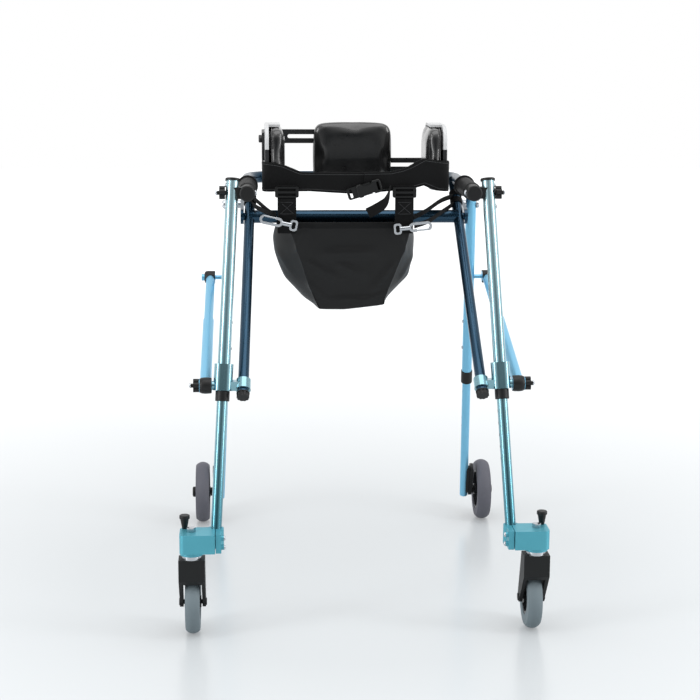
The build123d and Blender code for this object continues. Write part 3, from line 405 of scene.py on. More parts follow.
# %% Castings and steel
def grained(name, color, deep, rough, grain_mm, depth_mm, metallic=0.0, strength=0.3, **more):
    """One even grain: fine noise lifts the surface and shifts the roughness, broad noise shifts the tone."""
    material, tree, shader = new_material(name, color, rough, metallic, **more)
    place = add_node(tree, "TexCoord")
    grain = add_node(tree, "TexNoise", {
        "Vector": (place, "Object"), "Scale": per_metre(grain_mm), "Detail": 4.0, "Roughness": 0.6})
    cloud = add_node(tree, "TexNoise", {
        "Vector": (place, "Object"), "Scale": per_metre(45), "Detail": 3.0})
    add_node(tree, "Mix", {"Factor": (cloud, "Fac"), 6: linear(deep), 7: linear(color)},
             (2, shader.inputs["Base Color"]), data_type="RGBA")
    add_node(tree, "MapRange", {
        "Value": (grain, "Fac"), "From Min": 0.3, "From Max": 0.7, "To Min": rough * 0.85,
        "To Max": rough * 1.2}, ("Result", shader.inputs["Roughness"]))
    add_node(tree, "Bump", {
        "Height": (grain, "Fac"), "Strength": strength, "Distance": depth_mm * MM},
        ("Normal", shader.inputs["Normal"]))
    return material


finish["bracket_aqua"] = grained("blasted_aqua_casting", "#58a9ba", "#4f9dae", 0.42, 0.9, 0.08, 0.55)
# Bright zinc plate: a cool grey metal with a slightly hazy mirror.
finish["zinc_steel"] = grained("bright_zinc_plate", "#c9ccd0", "#b4b8bd", 0.22, 1.6, 0.02, 1.0, 0.15)
# Black oxide on bar stock: dark, satin, with a faint rolled grain.
finish["black_steel"] = grained("powder_coated_black_bar", "#1b1c1e", "#131416", 0.4, 1.1, 0.06, 0.0, 0.35)
print("metal finishes:", len(finish))

# %% [markdown]
# ## Plastics and rubbers
# Moulded parts copy their mould. Nylon clamps and forks come from a spark-eroded tool with a fine matt
# grain, the wheel hubs are smoother, and the tyres are soft grey rubber that is matt and slightly dusty.
# The blacks are not quite black, so that their shapes still read, and their gloss carries the difference.

# %% Plastics and rubber
finish["black_plastic"] = grained("moulded_black_nylon", "#0c0d0e", "#08090a", 0.42, 0.8, 0.05,
                                  Specular_IOR_Level=0.35)
finish["fork_black"] = grained("glass_filled_nylon_fork", "#151718", "#101213", 0.5, 1.3, 0.12, 0.0, 0.4,
                               Specular_IOR_Level=0.3)
finish["hub_black"] = grained("glossy_black_hub", "#15171a", "#0e1012", 0.3, 1.0, 0.04)
finish["caster_rubber"] = grained("grey_caster_tyre", "#6d7a80", "#616e74", 0.62, 1.5, 0.1, 0.0, 0.4)
finish["rear_rubber"] = grained("dark_grey_rear_tyre", "#5a5a63", "#4e4f57", 0.66, 1.8, 0.12, 0.0, 0.4)
finish["grip_rubber"] = grained("soft_black_grip_rubber", "#090a0b", "#060607", 0.55, 1.2, 0.12, 0.0, 0.5,
                                Specular_IOR_Level=0.3)
finish["shell_grey"] = grained("light_grey_abs_shell", "#c2c3c4", "#b6b7b8", 0.4, 1.0, 0.05)
print("finishes so far:", len(finish))

# %% [markdown]
# ## Cloth, webbing and vinyl
# Seat vinyl is a PVC skin pressed with a leather pattern of small cells, about two millimetres across, and
# it keeps a clear gloss. A leather pattern could be carved into the mesh, but cells this small only bend the
# highlights, so a bump is enough.

# %% Vinyl
def pressed_vinyl(name, color, deep, rough):
    """Height is the distance to the nearest cell edge, level past a quarter of a cell. Broad noise shifts
    tone and roughness."""
    material, tree, shader = new_material(name, color, rough, 0.0, Coat_Weight=0.8, Coat_Roughness=0.12)
    place = add_node(tree, "TexCoord")
    cells = add_node(tree, "TexVoronoi", {
        "Vector": (place, "Object"), "Scale": per_metre(2.2)}, feature="DISTANCE_TO_EDGE")
    creases = add_node(tree, "TexNoise", {
        "Vector": (place, "Object"), "Scale": per_metre(28), "Detail": 3.0})
    add_node(tree, "Mix", {"Factor": (creases, "Fac"), 6: linear(deep), 7: linear(color)},
             (2, shader.inputs["Base Color"]), data_type="RGBA")
    add_node(tree, "MapRange", {
        "Value": (creases, "Fac"), "From Min": 0.3, "From Max": 0.7, "To Min": rough * 0.85,
        "To Max": rough * 1.25}, ("Result", shader.inputs["Roughness"]))
    soft_edge = add_node(tree, "MapRange", {
        "Value": (cells, "Distance"), "From Min": 0.0, "From Max": 0.25, "To Min": 0.0, "To Max": 1.0})
    add_node(tree, "Bump", {
        "Height": (soft_edge, "Result"), "Strength": 0.22, "Distance": 0.12 * MM},
        ("Normal", shader.inputs["Normal"]))
    return material


finish["pad_vinyl"] = pressed_vinyl("pressed_black_vinyl", "#0e0e0f", "#09090a", 0.3)
print("vinyl:", finish["pad_vinyl"].name)


# %% [markdown]
# Webbing is woven polyester with ribs across it. Its rib pitch is 1.6 mm, drawn at 2.4 mm so that it still
# shows. Ribs and threads are two waves multiplied together, and they read the UV map rather than the
# object's axes, so that they follow a strap as it turns.

# %% Woven cloth
def woven(name, color, deep, rib_mm, thread_mm, rough=0.8, depth_mm=0.25, sheen=0.03, gloss=0.16):
    """Ribs run across the strap (a wave along u) and finer threads run along it (a wave along v)."""
    material, tree, shader = new_material(name, color, rough, 0.0, Sheen_Weight=sheen, Sheen_Roughness=0.5,
                                          Specular_IOR_Level=gloss)
    cloth = add_node(tree, "UVMap", uv_map="cloth")
    # A wave texture of scale 1 repeats every 0.314 units.
    wave = 0.314
    ribs = add_node(tree, "TexWave", {
        "Vector": (cloth, "UV"), "Scale": wave * per_metre(rib_mm), "Distortion": 0.6, "Detail": 1.0},
        bands_direction="X")
    threads = add_node(tree, "TexWave", {
        "Vector": (cloth, "UV"), "Scale": wave * per_metre(thread_mm), "Distortion": 0.4, "Detail": 1.0},
        bands_direction="Y")
    weave = add_node(tree, "Math", {0: (ribs, "Fac"), 1: (threads, "Fac")}, operation="MULTIPLY")
    place = add_node(tree, "TexCoord")
    fade = add_node(tree, "TexNoise", {
        "Vector": (place, "Object"), "Scale": per_metre(38), "Detail": 3.0})
    add_node(tree, "Mix", {"Factor": (fade, "Fac"), 6: linear(deep), 7: linear(color)},
             (2, shader.inputs["Base Color"]), data_type="RGBA")
    add_node(tree, "Bump", {
        "Height": (weave, "Value"), "Strength": 0.6, "Distance": depth_mm * MM},
        ("Normal", shader.inputs["Normal"]))
    return material


finish["webbing_black"] = woven("ribbed_black_webbing", "#0a0b0c", "#060607", 2.4, 1.8)
finish["sling_cloth"] = woven("coated_black_nylon_cloth", "#0d0e0f", "#08090a", 1.6, 1.6, 0.45, 0.1, 0.0, 0.3)
binding = woven("black_binding_tape", "#101112", "#0a0b0c", 2.0, 1.4, 0.6)
thread = grained("dark_sewing_thread", "#26282a", "#1b1d1f", 0.6, 0.6, 0.05)
print("soft finishes made; materials in all:", len(bpy.data.materials))

# %% [markdown]
# ## Dressing the CAD parts
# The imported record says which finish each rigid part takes, so a loop over it dresses them all, and no list
# of parts has to be kept here. Their shapes stay as they are.

# %% Finishes on the CAD parts
slot_of = {part["node"]: part["material_slot"] for part in frame["record"]["subparts"]}
for node, part in frame["nodes"].items():
    part.data.materials.clear()
    part.data.materials.append(finish[slot_of[node]])
print("dressed", len(slot_of), "parts")


# %% Finishes on new pieces
def fit(piece, slot, body, material=None):
    """Give a new piece the finish of its slot, or its own finish, and the body it rides on."""
    piece.data.materials.clear()
    piece.data.materials.append(material or finish[slot])
    if body:
        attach(piece, body)
    return piece


def corners(node):
    """The low and the high corner of a CAD node's box, in mm."""
    return [np.array(corner) * 1000 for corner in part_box(node)]


print("the walker's belt in the CAD runs from", corners("belt")[0].round(), "to", corners("belt")[1].round())

# %% [markdown]
# ## The floor
# A pale vinyl studio floor: almost white, with a soft reflection under the wheels. It is one large grid and
# is marked as the stage, because it isn't part of the walker. It glows a little, more so away from the
# middle, because the lamps reach it less there.

# %% Floor
floor_reach = 9000
across_floor = np.linspace(-floor_reach, floor_reach, 13)
floor_grid = np.stack(np.meshgrid(across_floor, across_floor, [0.0], indexing="ij"), -1)[:, :, 0]
floor = surface("studio_floor", floor_grid)
floor_finish, tree, shader = new_material("pale_studio_vinyl", "#a6abae", 0.2, 0.0, Emission_Strength=1.0)
place = add_node(tree, "TexCoord")
scuffs = add_node(tree, "TexNoise", {
    "Vector": (place, "Object"), "Scale": per_metre(300), "Detail": 4.0})
add_node(tree, "MapRange", {
    "Value": (scuffs, "Fac"), "From Min": 0.3, "From Max": 0.7, "To Min": 0.22, "To Max": 0.27},
    ("Result", shader.inputs["Roughness"]))
far = add_node(tree, "VectorMath", {0: (place, "Object")}, operation="LENGTH")
add_node(tree, "MapRange", {
    "Value": (far, "Value"), "From Min": 0.5, "From Max": 2.8, "To Min": 0.2, "To Max": 0.66},
    ("Result", shader.inputs["Emission Color"]))
floor.data.materials.append(floor_finish)
floor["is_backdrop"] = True
print("floor", floor.dimensions[:])

# %% [markdown]
# ## Cushions
# The three cushions are foam in a stitched vinyl skin, screwed to stiff plates. A rounded block alone looks
# like plastic: a real skin is tight over its foam and crowned. So each starts as a flatter block, is
# remeshed into an even net, and is swollen as cloth with pressure inside. No point may move further than a
# few millimetres, which keeps the cushion in its place between its neighbours.

# %% A rounded block
def rounded_block(name, middle, half, power):
    """Superellipsoid: |x/a|^p + |y/b|^p + |z/c|^p = 1, from a latitude row and a longitude column."""
    row = np.linspace(-np.pi / 2, np.pi / 2, 50)[1:-1, None]
    column = np.linspace(0, 2 * np.pi, 100, endpoint=False)[None]

    def bent(wave):
        """A wave from -1 to 1 raised to the power 2/p, with its sign kept."""
        return np.sign(wave) * np.abs(wave) ** (2 / power)

    x = bent(np.cos(row)) * bent(np.cos(column))
    y = bent(np.cos(row)) * bent(np.sin(column))
    z = bent(np.sin(row)) * np.ones_like(column)
    return surface(name, middle + np.stack([x, y, z], -1) * half, around=True, ends=True)


cushion_power = 7.5
print("a cushion's corners are rounded with power", cushion_power)


# %% Swelling
def bake(piece):
    """The piece's mesh becomes what its modifiers show, and the modifiers go."""
    view = bpy.context.evaluated_depsgraph_get()
    shown = bpy.data.meshes.new_from_object(piece.evaluated_get(view))
    piece.modifiers.clear()
    piece.data = shown


def points_of(piece):
    """x, y and z of each of the piece's points in turn, in metres."""
    flat = np.empty(len(piece.data.vertices) * 3, np.float32)
    piece.data.vertices.foreach_get("co", flat)
    return flat


net_mm = 4.5
skin_pressure = 4.0
last_moment = 20


def swell(piece, cap_mm):
    """Blow the piece up as cloth for 20 frames, then scale each point's move m by min(1, cap / |m|)."""
    remesh = piece.modifiers.new("even_net", "REMESH")
    remesh.mode = "VOXEL"
    remesh.voxel_size = net_mm * MM
    bake(piece)
    before = points_of(piece)
    cloth = piece.modifiers.new("skin", "CLOTH")
    cloth.settings.use_pressure = True
    cloth.settings.uniform_pressure_force = skin_pressure
    cloth.settings.effector_weights.gravity = 0
    cloth.point_cache.frame_start = 1
    cloth.point_cache.frame_end = last_moment
    for moment in range(1, last_moment + 1):
        scene.frame_set(moment)
    bake(piece)
    scene.frame_set(1)
    move = (points_of(piece) - before).reshape(-1, 3)
    far = np.linalg.norm(move, axis=1, keepdims=True)
    move *= np.minimum(1, cap_mm * MM / np.maximum(far, 1e-9))
    piece.data.vertices.foreach_set("co", (before.reshape(-1, 3) + move).ravel())
    piece.data.update()
    # The skin is thick, so the small puckers of thin cloth are relaxed away.
    relax = piece.modifiers.new("thick_skin", "SMOOTH")
    relax.factor, relax.iterations = 0.5, 8
    bake(piece)
    smooth = piece.modifiers.new("one_subdivision", "SUBSURF")
    smooth.levels = smooth.render_levels = 1
    bake(piece)
    piece.data.shade_smooth()
    print(piece.name, "swelled by up to", round(float(far.max()) * 1000, 1), "mm")
    return piece


# %% [markdown]
# The back cushion stands against the pelvis plate and the two hip cushions line the hip guides. A cushion's
# welt is a thin vinyl piping that covers the seam between its face and its back. It is a circle carried
# round the cushion's own outline, so that it lies on the skin.

# %% Three cushions
welt_d, welt_inset, welt_points = 2.6, 2.4, 160


def cushion(node, body, thin_axis, shrink, cap_mm, seam_at):
    """Fill the CAD pad's box with a swollen pad. Its welt runs along the superellipse that is the box's
    outline, at a share seam_at of the pad's thickness."""
    low, high = corners(node)
    middle, half = (low + high) / 2, (high - low) / 2
    pad = swell(rounded_block(node + "_cushion", middle, half - shrink, cushion_power), cap_mm)
    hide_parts(node)
    fit(pad, "pad_vinyl", body)
    across = [i for i in range(3) if i != thin_axis]
    turn = np.linspace(0, 2 * np.pi, welt_points, endpoint=False)
    ring = np.zeros((welt_points, 3))
    bend = 2 / cushion_power
    ring[:, thin_axis] = low[thin_axis] + (high - low)[thin_axis] * seam_at
    for axis, wave in zip(across, (np.cos(turn), np.sin(turn))):
        ring[:, axis] = middle[axis] + np.sign(wave) * np.abs(wave) ** bend * (half[axis] - welt_inset)
    thin = np.zeros(3)
    thin[thin_axis] = 1.0
    welt_grid = carry(round_section(welt_d, 10), ring, thin, closed=True)
    welt = surface(node + "_welt", welt_grid, around=True, ring=True)
    fit(welt, "pad_vinyl", body)


cushion("back_pad", "frame", 1, (0.2, 2.0, 0.2), 3.0, 0.84)
for side in SIDES:
    seam = 0.8 if side == "right" else 0.2
    cushion(f"{side}_hip_pad", f"{side}_hip_guide", 0, (1.0, 0.8, 0.8), 3.0, seam)

# %% [markdown]
# ## The belt
# A padded strap closes the front between the two hip guides. It rises and widens where it wraps each hip
# cushion's front corner. On the walker each half is fixed to its guide and follows it when the guide slides
# in or out; here both halves are made in their rest place and are not attached to the guides. A simulation
# could drape it, but the belt is pulled tight, and an arc with measured edges says exactly where it lies.

# %% The belt's line
belt_low, belt_high = corners("belt")
bulge = belt_high[1] - belt_low[1] - 3
bow_radius = (belt_high[0] ** 2 + bulge ** 2) / (2 * bulge)


def belt_line_y(x):
    """The belt bows forward as one arc: y = front + r - sqrt(r^2 - x^2)."""
    return belt_low[1] + 2 + bow_radius - np.sqrt(bow_radius ** 2 - np.asarray(x, float) ** 2)


print("belt bow radius", round(float(bow_radius)), "mm, bulge", round(float(bulge)), "mm")

# %% The belt's edges
# Height of the belt's upper and lower edges, by the distance x from the middle, for each half.
edge_x = {"left": (0, 20, 85, 103, 134, 150, 175), "right": (0, 62, 85, 101, 124, 150, 175)}
edge_top = {"left": (780.5, 780.5, 780.5, 781, 793, 796, 798), "right": (781, 782, 787, 793, 805, 801, 798)}
edge_low = {"left": (742, 742.5, 746, 745.5, 744.5, 744, 743), "right": (742, 747, 749, 751, 757, 746, 743)}


belt_thickness = 3.6
bow_end_x = 150
stitch_d, stitch_inset = 1.0, 4.0
print("belt width at the middle", edge_top["left"][0] - edge_low["left"][0], "mm")


# %% One belt half
def belt_half(side, sign, inner_x, behind):
    """A thin padded strip on the bow, then round the cushion's front corner and a little way back. Its edges
    are read from the tables at |x|, plus a fifth of the distance that it has run back."""
    x = np.linspace(inner_x, bow_end_x, 40)
    bow = np.stack([x, belt_line_y(x) + behind, np.zeros_like(x)], -1)
    corner = [(159, bow[-1, 1] + 3.5, 0), (166, bow[-1, 1] + 10, 0), (169.6, bow[-1, 1] + 20, 0),
              (169.6, -48, 0), (169.6, -28, 0)]
    path = smooth_through(np.concatenate([bow[::5], bow[-1:], corner]), 110)
    reach = np.abs(path[:, 0]) + np.maximum(0, path[:, 1] + 60) * 0.2
    top = np.interp(reach, edge_x[side], edge_top[side])
    low = np.interp(reach, edge_x[side], edge_low[side])
    path[:, 2] = (top + low) / 2
    path[:, 0] *= sign
    grid = carry(flat_section(1.0, belt_thickness, 7.0, 44), path, (0, 0, 1), widths=top - low)
    half = surface(f"{side}_belt", grid, around=True, ends=True)
    fit(half, "webbing_black", None)
    stitches = []
    for edge, level in (("upper", top - stitch_inset), ("lower", low + stitch_inset)):
        line = path.copy()
        line[:, 2] = level
        across = np.gradient(line, axis=0)
        outward = np.stack([across[:, 1], -across[:, 0], np.zeros(len(line))], -1) * sign
        outward /= np.linalg.norm(outward, axis=1, keepdims=True)
        seam_grid = carry(round_section(stitch_d, 8), line + outward * belt_thickness / 2, (0, 0, 1))
        seam = surface(f"{side}_belt_{edge}_stitch", seam_grid, around=True, ends=True)
        stitches.append(fit(seam, "webbing_black", None, thread))
    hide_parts("belt")
    for piece in [half] + stitches:
        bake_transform(piece)


# The left half runs past the middle behind the right one, and the buckle covers where they meet.
belt_half("left", -1, -26.0, 3.2)
belt_half("right", 1, 14.0, 0.0)

# %% [markdown]
# ## Straps
# Two upright webbings hang from the belt through three-bar sliders and are sewn to the seat's front rim.
# Each is doubled: the tail comes back down in front and is sewn with a cross. They hang nearly straight, so
# a line through a few points gives them as well as a simulation would.

# %% Upright straps
straps = []
strap_places = {"left": -127.0, "right": 86.0}
cross_half_width, cross_high_z, cross_low_z = 12.0, 727.0, 706.0


def strap_face_y(x):
    """The belt's y, 22 mm nearer to the middle, less 6.25 mm of room for the slider's back."""
    return belt_line_y(abs(x) - 22) - 7.5 + 1.25


for side, x in strap_places.items():
    y = float(strap_face_y(x))
    down = [(x, y, 757), (x, y, 735), (x, y - 0.4, 712), (x, y + 3.5, 694), (x, y + 8, 680),
            (x, y + 10.5, 669)]
    straps.append(strip(f"{side}_upright_strap", down, 34, 1.8, (1, 0, 0), 50))
    tail = [(x, y - 2.1, 733), (x, y - 2.3, 715), (x, y - 1.2, 703)]
    straps.append(strip(f"{side}_strap_tail", tail, 32, 1.6, (1, 0, 0), 24))
    left_x, right_x = x - cross_half_width, x + cross_half_width
    cross = [(left_x, cross_high_z), (right_x, cross_high_z), (left_x, cross_low_z), (right_x, cross_low_z),
             (left_x, cross_high_z)]
    line = np.array([(px, y - 3.4, pz) for px, pz in cross])
    path = np.concatenate([np.linspace(line[i], line[i + 1], 8, endpoint=False) for i in range(4)])
    sewn_grid = carry(round_section(0.9, 8), path, (0, 1, 0.01))
    sewn = surface(f"{side}_cross_stitch", sewn_grid, around=True, ends=True)
    fit(sewn, "webbing_black", "frame", thread)
print("upright straps and tails:", [piece.name for piece in straps])

# %% [markdown]
# The belt's free tail leaves the buckle on edge and twists until its end lies flat to the front. Its width
# direction is given point by point, because a strap that is only bent can't turn its face.

# %% The belt's tail
tail = [(60, -104.5, 757), (58, -106, 748), (53, -107.5, 733), (44, -108.5, 722), (31, -109, 714),
        (19, -109, 708)]
twist = [(0, 1, 0.1), (0, 1, 0.1), (-0.3, 0.9, 0.3), (-0.45, 0.5, 0.8), (-0.4, 0.1, 0.9), (-0.4, 0, 0.9)]
straps.append(strip("belt_tail", tail, 19, 1.6, twist, 60))
for piece in straps:
    fit(piece, "webbing_black", "frame")
print("strap pieces:", len(straps))

# %% [markdown]
# A thin strap runs from each upright out to the slanting brace beside it, twice on each side, and is sewn
# into a loop round the tube. The loop is a flat band turned about the tube's own axis, so that it hugs the
# slanting tube.

# %% Where the side straps run
brace_foot = np.array((207.0, -287.3, 430.0))
brace_head = np.array((192.0, 46.0, 755.0))
brace_d = 19.0
side_strap_w, side_strap_t = 10, 1.4
loop_w, loop_t = 12, 1.6
side_routes = {
    "left": [[(-193.3, 18.3, 728), (-176, -40, 719), (-158, -82, 708), (-146, -92, 703)],
             [(-193.8, 6.0, 716), (-180, -42, 711), (-160, -80, 706), (-146, -92, 704)]],
    "right": [[(193.3, 18.3, 728), (160, -30, 722), (128, -74, 708), (104, -90, 698)],
              [(193.8, 6.0, 716), (165, -36, 704), (134, -74, 690), (106, -88, 682)]],
}
print("side straps to make:", sum(len(routes) for routes in side_routes.values()))

# %% Side straps and their loops
for side, sign in SIDES.items():
    along = (brace_head - brace_foot) * (sign, 1, 1)
    along /= np.linalg.norm(along)
    for number, route in enumerate(side_routes[side], 1):
        route = np.array(route, float)
        away = route[1] - route[0]
        away /= np.linalg.norm(away)
        first = route[0] + away * (brace_d / 2 + 1.0)
        band = strip(f"{side}_side_strap_{number}", np.concatenate([[first], route[1:]]), side_strap_w,
                     side_strap_t, (0.15 * sign, -0.25, 1), 50)
        fit(band, "webbing_black", "frame")
        # The loop is a circle round the tube: place + r * (cos * one + sin * two).
        flat = flat_section(loop_w, loop_t)
        angle = np.linspace(0, 2 * np.pi, 48, endpoint=False)[:, None]
        one = away - along * (away @ along)
        one /= np.linalg.norm(one)
        two = np.cross(along, one)
        reach = brace_d / 2 + 1.2
        circle = route[0] + reach * (np.cos(angle) * one + np.sin(angle) * two)
        loop_grid = carry(flat, circle, along, closed=True)
        loop = surface(f"{side}_loop_{number}", loop_grid, around=True, ring=True)
        fit(loop, "webbing_black", "frame")
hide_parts("seat_straps")
print("side straps and loops: 4 each")

# %% [markdown]
# ## The seat
# The seat is a bag of coated nylon that is open at the top. A front panel narrows downward between two
# seams, a back panel matches it, and a gusset joins them at each side, bulging outward where the thigh
# presses. At each height the bag's plan is a closed line through twelve points, and the heights are stacked
# into one surface. Draping it would lose the panels' cut, so its shape is written as a table instead. It is
# cut flat from about an eighth of a square metre.

# %% The seat's widths
# Per height: x of the front seam, widest gusset and rear seam on the left, then the same on the right.
levels = np.array([
    (528, -66, -70, -62, 52, 56, 56), (540, -73, -92, -68, 53, 67, 62), (560, -81, -110, -74, 60, 84, 70),
    (580, -89, -129, -78, 67, 101, 78), (606, -97, -140, -82, 76, 106, 84),
    (628, -104, -147, -84, 84, 110, 88), (655, -112, -150, -84, 92, 111, 92),
    (675, -119, -145, -82, 96, 107, 96), (685, -122, -138, -80, 96, 104, 98)], float)
front_y, back_y, gusset_y = -79.0, 57.0, -14.0
print("seat from z", levels[0, 0], "to", levels[-1, 0], "mm, rim", levels[-1, 4] - levels[-1, 1], "mm wide")


# %% The seat's plans
def bag_rows(table, rows, columns):
    """At each height z the table gives six widths, averaged with their neighbours by weights 1 2 3 2 1. The
    plan is a smooth closed line through 12 points, and it leans in by 8 (1 - rise)^2 mm at the foot."""
    z = table[:, 0]
    heights = np.linspace(z[0], z[-1], rows)
    f_l, g_l, r_l, f_r, g_r, r_r = (np.interp(heights, z, table[:, k]) for k in range(1, 7))
    kernel = np.array([1, 2, 3, 2, 1]) / 9
    f_l, g_l, r_l, f_r, g_r, r_r = (
        np.convolve(np.pad(v, 2, mode="edge"), kernel, "valid") for v in (f_l, g_l, r_l, f_r, g_r, r_r))
    rise = (heights - z[0]) / (z[-1] - z[0])
    lean = 8 * (1 - rise) ** 2
    plans = []
    for i in range(rows):
        front, back = front_y + lean[i], back_y - 0.6 * lean[i]
        plan = [(f_l[i] + 5, front), ((f_l[i] + f_r[i]) / 2, front - 2.5), (f_r[i] - 5, front),
                (f_r[i], front + 5), (g_r[i], gusset_y), (r_r[i], back - 5), (r_r[i] - 5, back),
                ((r_l[i] + r_r[i]) / 2, back + 1.5), (r_l[i] + 5, back), (r_l[i], back - 5),
                (g_l[i], gusset_y), (f_l[i], front + 5)]
        line = smooth_through(plan, columns, closed=True)
        plans.append(np.concatenate([line, np.full((columns, 1), heights[i])], 1))
    return np.array(plans), np.stack([f_l, f_r, heights, lean], -1)


walls, seams = bag_rows(levels, 44, 180)
print("seat walls:", walls.shape[0], "rows of", walls.shape[1], "points")

# %% The seat's floor
# The lowest plan shrinks toward its middle, row by row, and sags by up to 7 mm there.
sag = 7.0
middle = walls[0].mean(0)
floor_rows = []
for share in np.linspace(0.04, 0.97, 16):
    row = middle + (walls[0] - middle) * share
    row[:, 2] = walls[0, :, 2] - sag * (1 - share ** 2.4)
    floor_rows.append(row)
bag = np.concatenate([np.array(floor_rows), walls])


def cut_rise(points):
    """Height added by the slanting cut: it grows with x to the right and fades out upward."""
    return 9 * np.clip((points[..., 0] + 20) / 85, 0, 1) * np.clip((590 - points[..., 2]) / 60, 0, 1)


bag[..., 2] += cut_rise(bag)
print("seat floor at z", round(float(bag[0, :, 2].mean()), 1), "mm")


# %% [markdown]
# Loose cloth folds where it is pulled. Each fold is a soft ridge along a line on the panel, pushed out from
# the bag's middle. A simulation would make its own folds, but written ones stay where they are wanted.

# %% Folds
def crease(points, centre, direction, length, width, depth):
    """A fold in the XZ plane: depth * exp(-(distance off it / width)^2) * exp(-(run along it / length)^4)."""
    d = np.asarray(direction, float) / np.linalg.norm(direction)
    rel = points[..., (0, 2)] - np.asarray(centre)
    run = rel @ d
    off = rel @ np.array((-d[1], d[0]))
    return depth * np.exp(-(off / width) ** 2) * np.exp(-(run / length) ** 4)


# Each fold: its middle (x, z), direction, length, width and depth.
folds = [
    ((-62, 600), (0.9, -0.5), 34, 6, 3.2), ((-70, 560), (0.8, -0.7), 26, 5, 2.6),
    ((48, 585), (0.7, 0.9), 34, 6, 3.4), ((30, 548), (1, 0.35), 30, 5, 2.6),
    ((-8, 545), (1, 0.02), 40, 6, 2.8),
    ((-15, 632), (1, 0.02), 46, 9, 3.6), ((-100, 655), (0.4, 1), 24, 5, 2.4),
    ((84, 650), (-0.3, 1), 24, 5, 2.4), ((-8, 600), (0.9, -0.5), 26, 7, 3.2),
    ((-128, 610), (0.5, -0.8), 26, 4, 2.6), ((96, 600), (-0.5, -0.8), 26, 4, 2.6)]
shift = sum(crease(bag, *fold) for fold in folds)
outward = bag[..., :2] - middle[:2]
outward /= np.maximum(np.linalg.norm(outward, axis=-1, keepdims=True), 1e-6)
bag[..., :2] += outward * shift[..., None]
print("folds:", len(folds), "up to", round(float(shift.max()), 1), "mm deep")

# %% The seat
cloth_mm = 1.8
seat = surface("seat_bag", bag, around=True)
wall = seat.modifiers.new("cloth_thickness", "SOLIDIFY")
wall.thickness = cloth_mm * MM
wall.offset = -1
area = float(sum(face.area for face in seat.data.polygons))
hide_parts("sling_seat")
fit(seat, "sling_cloth", "frame")
print("seat cloth area", round(area, 3), "square metres")

# %% [markdown]
# A folded tape binds the rim, and a line of piping stands on each front seam, where the panel and the gusset
# are sewn together. Both follow rows and columns of the same grid, so they lie exactly on the cloth.

# %% Rim binding and seams
tape_w, tape_t, tape_drop = 13, 4.4, 3.0
seam_d, seam_stands = 2.6, 1.2
rim = walls[-1].copy()
rim[:, 2] -= tape_drop
binding_grid = carry(flat_section(tape_w, tape_t, 3.0), rim, (0, 0, 1), closed=True)
rim_tape = surface("seat_rim_tape", binding_grid, around=True, ring=True)
fit(rim_tape, "webbing_black", "frame", binding)
for side, column in (("left", 0), ("right", 1)):
    x, z, lean = seams[:, column], seams[:, 2], seams[:, 3]
    path = np.stack([x, front_y + lean + seam_stands, z], -1)[::3]
    path[:, 2] += cut_rise(path)
    piping_grid = carry(round_section(seam_d, 10), smooth_through(path, 90), (1, 0, 0))
    piping = surface(f"{side}_seat_seam", piping_grid, around=True, ends=True)
    fit(piping, "webbing_black", "frame", binding)
print("rim tape and two seams")

# %% [markdown]
# ## Screws, boots and spring buttons
# The CAD has the working pins. What is left are the small bright heads that hold the tubes together. Each
# head is an outline turned once round its axis: a thin washer under a low dome with a driver recess.

# %% One screw head
def screw_head(name, at, axis, diameter, height, body, recess=True):
    """The outline is a washer 1.2 r wide, then a quarter turn of an ellipse from r in to 0.35 r, then a
    small recess, as distances along the axis and radii."""
    r = diameter / 2
    bend = np.linspace(0, np.pi / 2, 9)
    dome = [(1.0 + (height - 1.0) * math.sin(a), r * (0.35 + 0.65 * math.cos(a))) for a in bend]
    outline = [(-0.6, r * 1.2), (0.6, r * 1.2), (0.9, r * 1.1), (1.0, r)] + dome
    outline += [(height, r * 0.3), (height - 1.2, r * 0.28)] if recess else [(height, r * 0.1)]
    fit(spun(name, outline, at, axis), "zinc_steel", body)


print("a head's outline is turned in 40 steps")

# %% Where the legs' axes run
grip_z = 755


def front_leg_at(z):
    """The upper front leg's axis: for each millimetre down it runs out by 0.05416 and forward by 0.24933."""
    return np.array((224.6 + (grip_z - z) * 0.05416, -206.26 - (grip_z - z) * 0.24933, z))


rear_leg_foot, rear_leg_head = np.array((258.08, 308.45, 120.0)), np.array((231.23, 77.0, 700.0))


def rear_leg_at(z):
    """The rear leg's axis: foot + (head - foot) * (z - foot z) / (head z - foot z)."""
    share = (z - rear_leg_foot[2]) / (rear_leg_head[2] - rear_leg_foot[2])
    return rear_leg_foot + (rear_leg_head - rear_leg_foot) * share


print("rear leg at half height:", rear_leg_at(410.0).round(1))

# %% Heads on the legs
front_leg_r, rear_leg_inset = 11.0, 9.9
bracket_screws_yz = ((308, 122), (314, 103), (331, 68))
for side, sign in SIDES.items():
    mirror = np.array((sign, 1, 1))
    for number, z in enumerate((768, 731), 1):
        screw_head(f"{side}_leg_screw_{number}", (front_leg_at(z) + (front_leg_r, 0, 0)) * mirror,
                   (sign, 0, 0), 6.5, 2.6, "frame")
    for number, z in enumerate((400.0, 458.0), 1):
        screw_head(f"{side}_spring_button_{number}", (rear_leg_at(z) - (rear_leg_inset, 0, 0)) * mirror,
                   (-sign, 0, 0), 6, 3.0, f"{side}_rear_leg", recess=False)
    plate_low, plate_high = corners(f"{side}_rear_bracket")
    inner_x = min(abs(plate_low[0]), abs(plate_high[0]))
    for number, (y, z) in enumerate(bracket_screws_yz, 1):
        screw_head(f"{side}_rear_bracket_screw_{number}", (sign * inner_x, y, z), (-sign, 0, 0), 8, 3.0,
                   f"{side}_rear_extension")
print("heads on the legs:", 2 * (2 + 2 + len(bracket_screws_yz)))

# %% [markdown]
# Each star knob turns on a screw whose tip shows in its middle, and a screw holds each grip, each strut's
# foot and each half of the caster clamp. Every head rides with the part that it is screwed into.

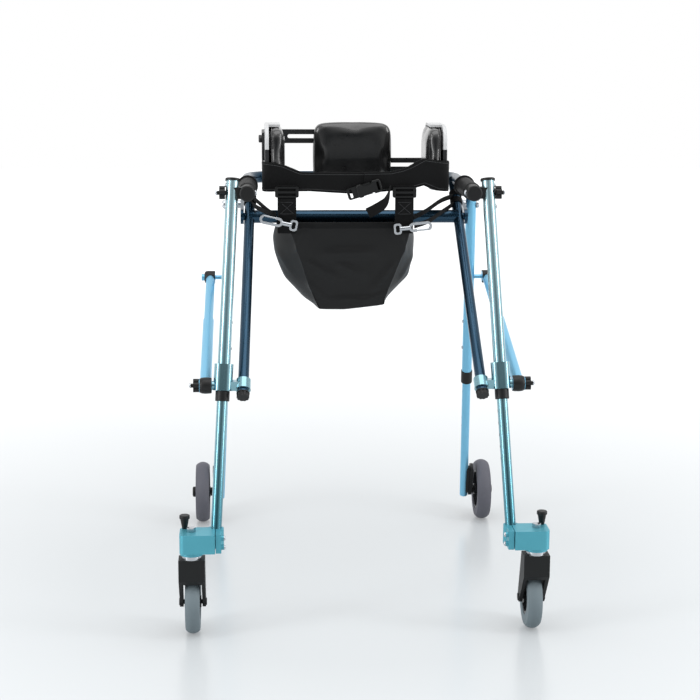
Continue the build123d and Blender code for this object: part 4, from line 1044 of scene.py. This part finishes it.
# %% Heads on knobs, grips and clamps
strut_x, strut_foot_yz, strut_rear_yz = 272.3, (-287.3, 430), (134.9, 555)
for side, sign in SIDES.items():
    for knob in ("handle_knob", "strut_knob"):
        low, high = corners(f"{side}_{knob}")
        middle = (low + high) / 2
        outer = low[0] if sign < 0 else high[0]
        screw_head(f"{side}_{knob}_tip", (outer - sign * 0.3, middle[1], middle[2]), (sign, 0, 0), 7.5, 2.6,
                   f"{side}_{knob}")
    screw_head(f"{side}_grip_screw", (sign * (198 - 13.8), -206.3, grip_z), (-sign, 0, 0), 8, 2.8, "frame")
    screw_head(f"{side}_strut_foot_screw", (sign * (strut_x + 12.8), *strut_foot_yz), (sign, 0, 0), 8, 3.0,
               "frame")
    low, high = corners(f"{side}_caster_bracket")
    jaw_x = min(abs(low[0]), abs(high[0]))
    for number, z in enumerate((168.5, 184.5), 1):
        screw_head(f"{side}_foot_clamp_screw_{number}", (sign * (jaw_x - 0.2), low[1] + 13, z), (-sign, 0, 0),
                   7.4, 2.8, f"{side}_leg_extension")

# %% [markdown]
# A moulded boot covers each strut's front end and a cap its rear end. Both are round, so they are turned
# like the screw heads, from an outline with a soft shoulder.

# %% Boots and caps
boot = [(-10.6, 12.1), (-10.6, 13.2), (-8, 14.0), (0, 14.4), (6, 13.8), (10, 12.2), (12.2, 9.5), (13, 5)]
cap = [(-9, 11.2), (-9, 12.6), (4, 12.8), (8.5, 12.2), (11, 10), (12, 6)]
for side, sign in SIDES.items():
    axis = (sign, 0, 0)
    fit(spun(f"{side}_strut_boot", boot, (sign * strut_x, *strut_foot_yz), axis), "black_plastic",
        f"{side}_strut_tube")
    fit(spun(f"{side}_strut_rear_cap", cap, (sign * strut_x, *strut_rear_yz), axis), "black_plastic",
        f"{side}_strut_rod")
    screw_head(f"{side}_strut_rear_screw", (sign * (strut_x + 11.8), *strut_rear_yz), axis, 8, 3.0,
               f"{side}_strut_rod")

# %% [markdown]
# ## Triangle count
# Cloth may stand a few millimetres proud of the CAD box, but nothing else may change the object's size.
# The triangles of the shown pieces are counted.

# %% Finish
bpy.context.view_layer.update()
triangles = sum(max(len(face.vertices) - 2, 1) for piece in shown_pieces() if piece.type == "MESH"
                for face in piece.data.polygons)
print("triangles:", triangles)
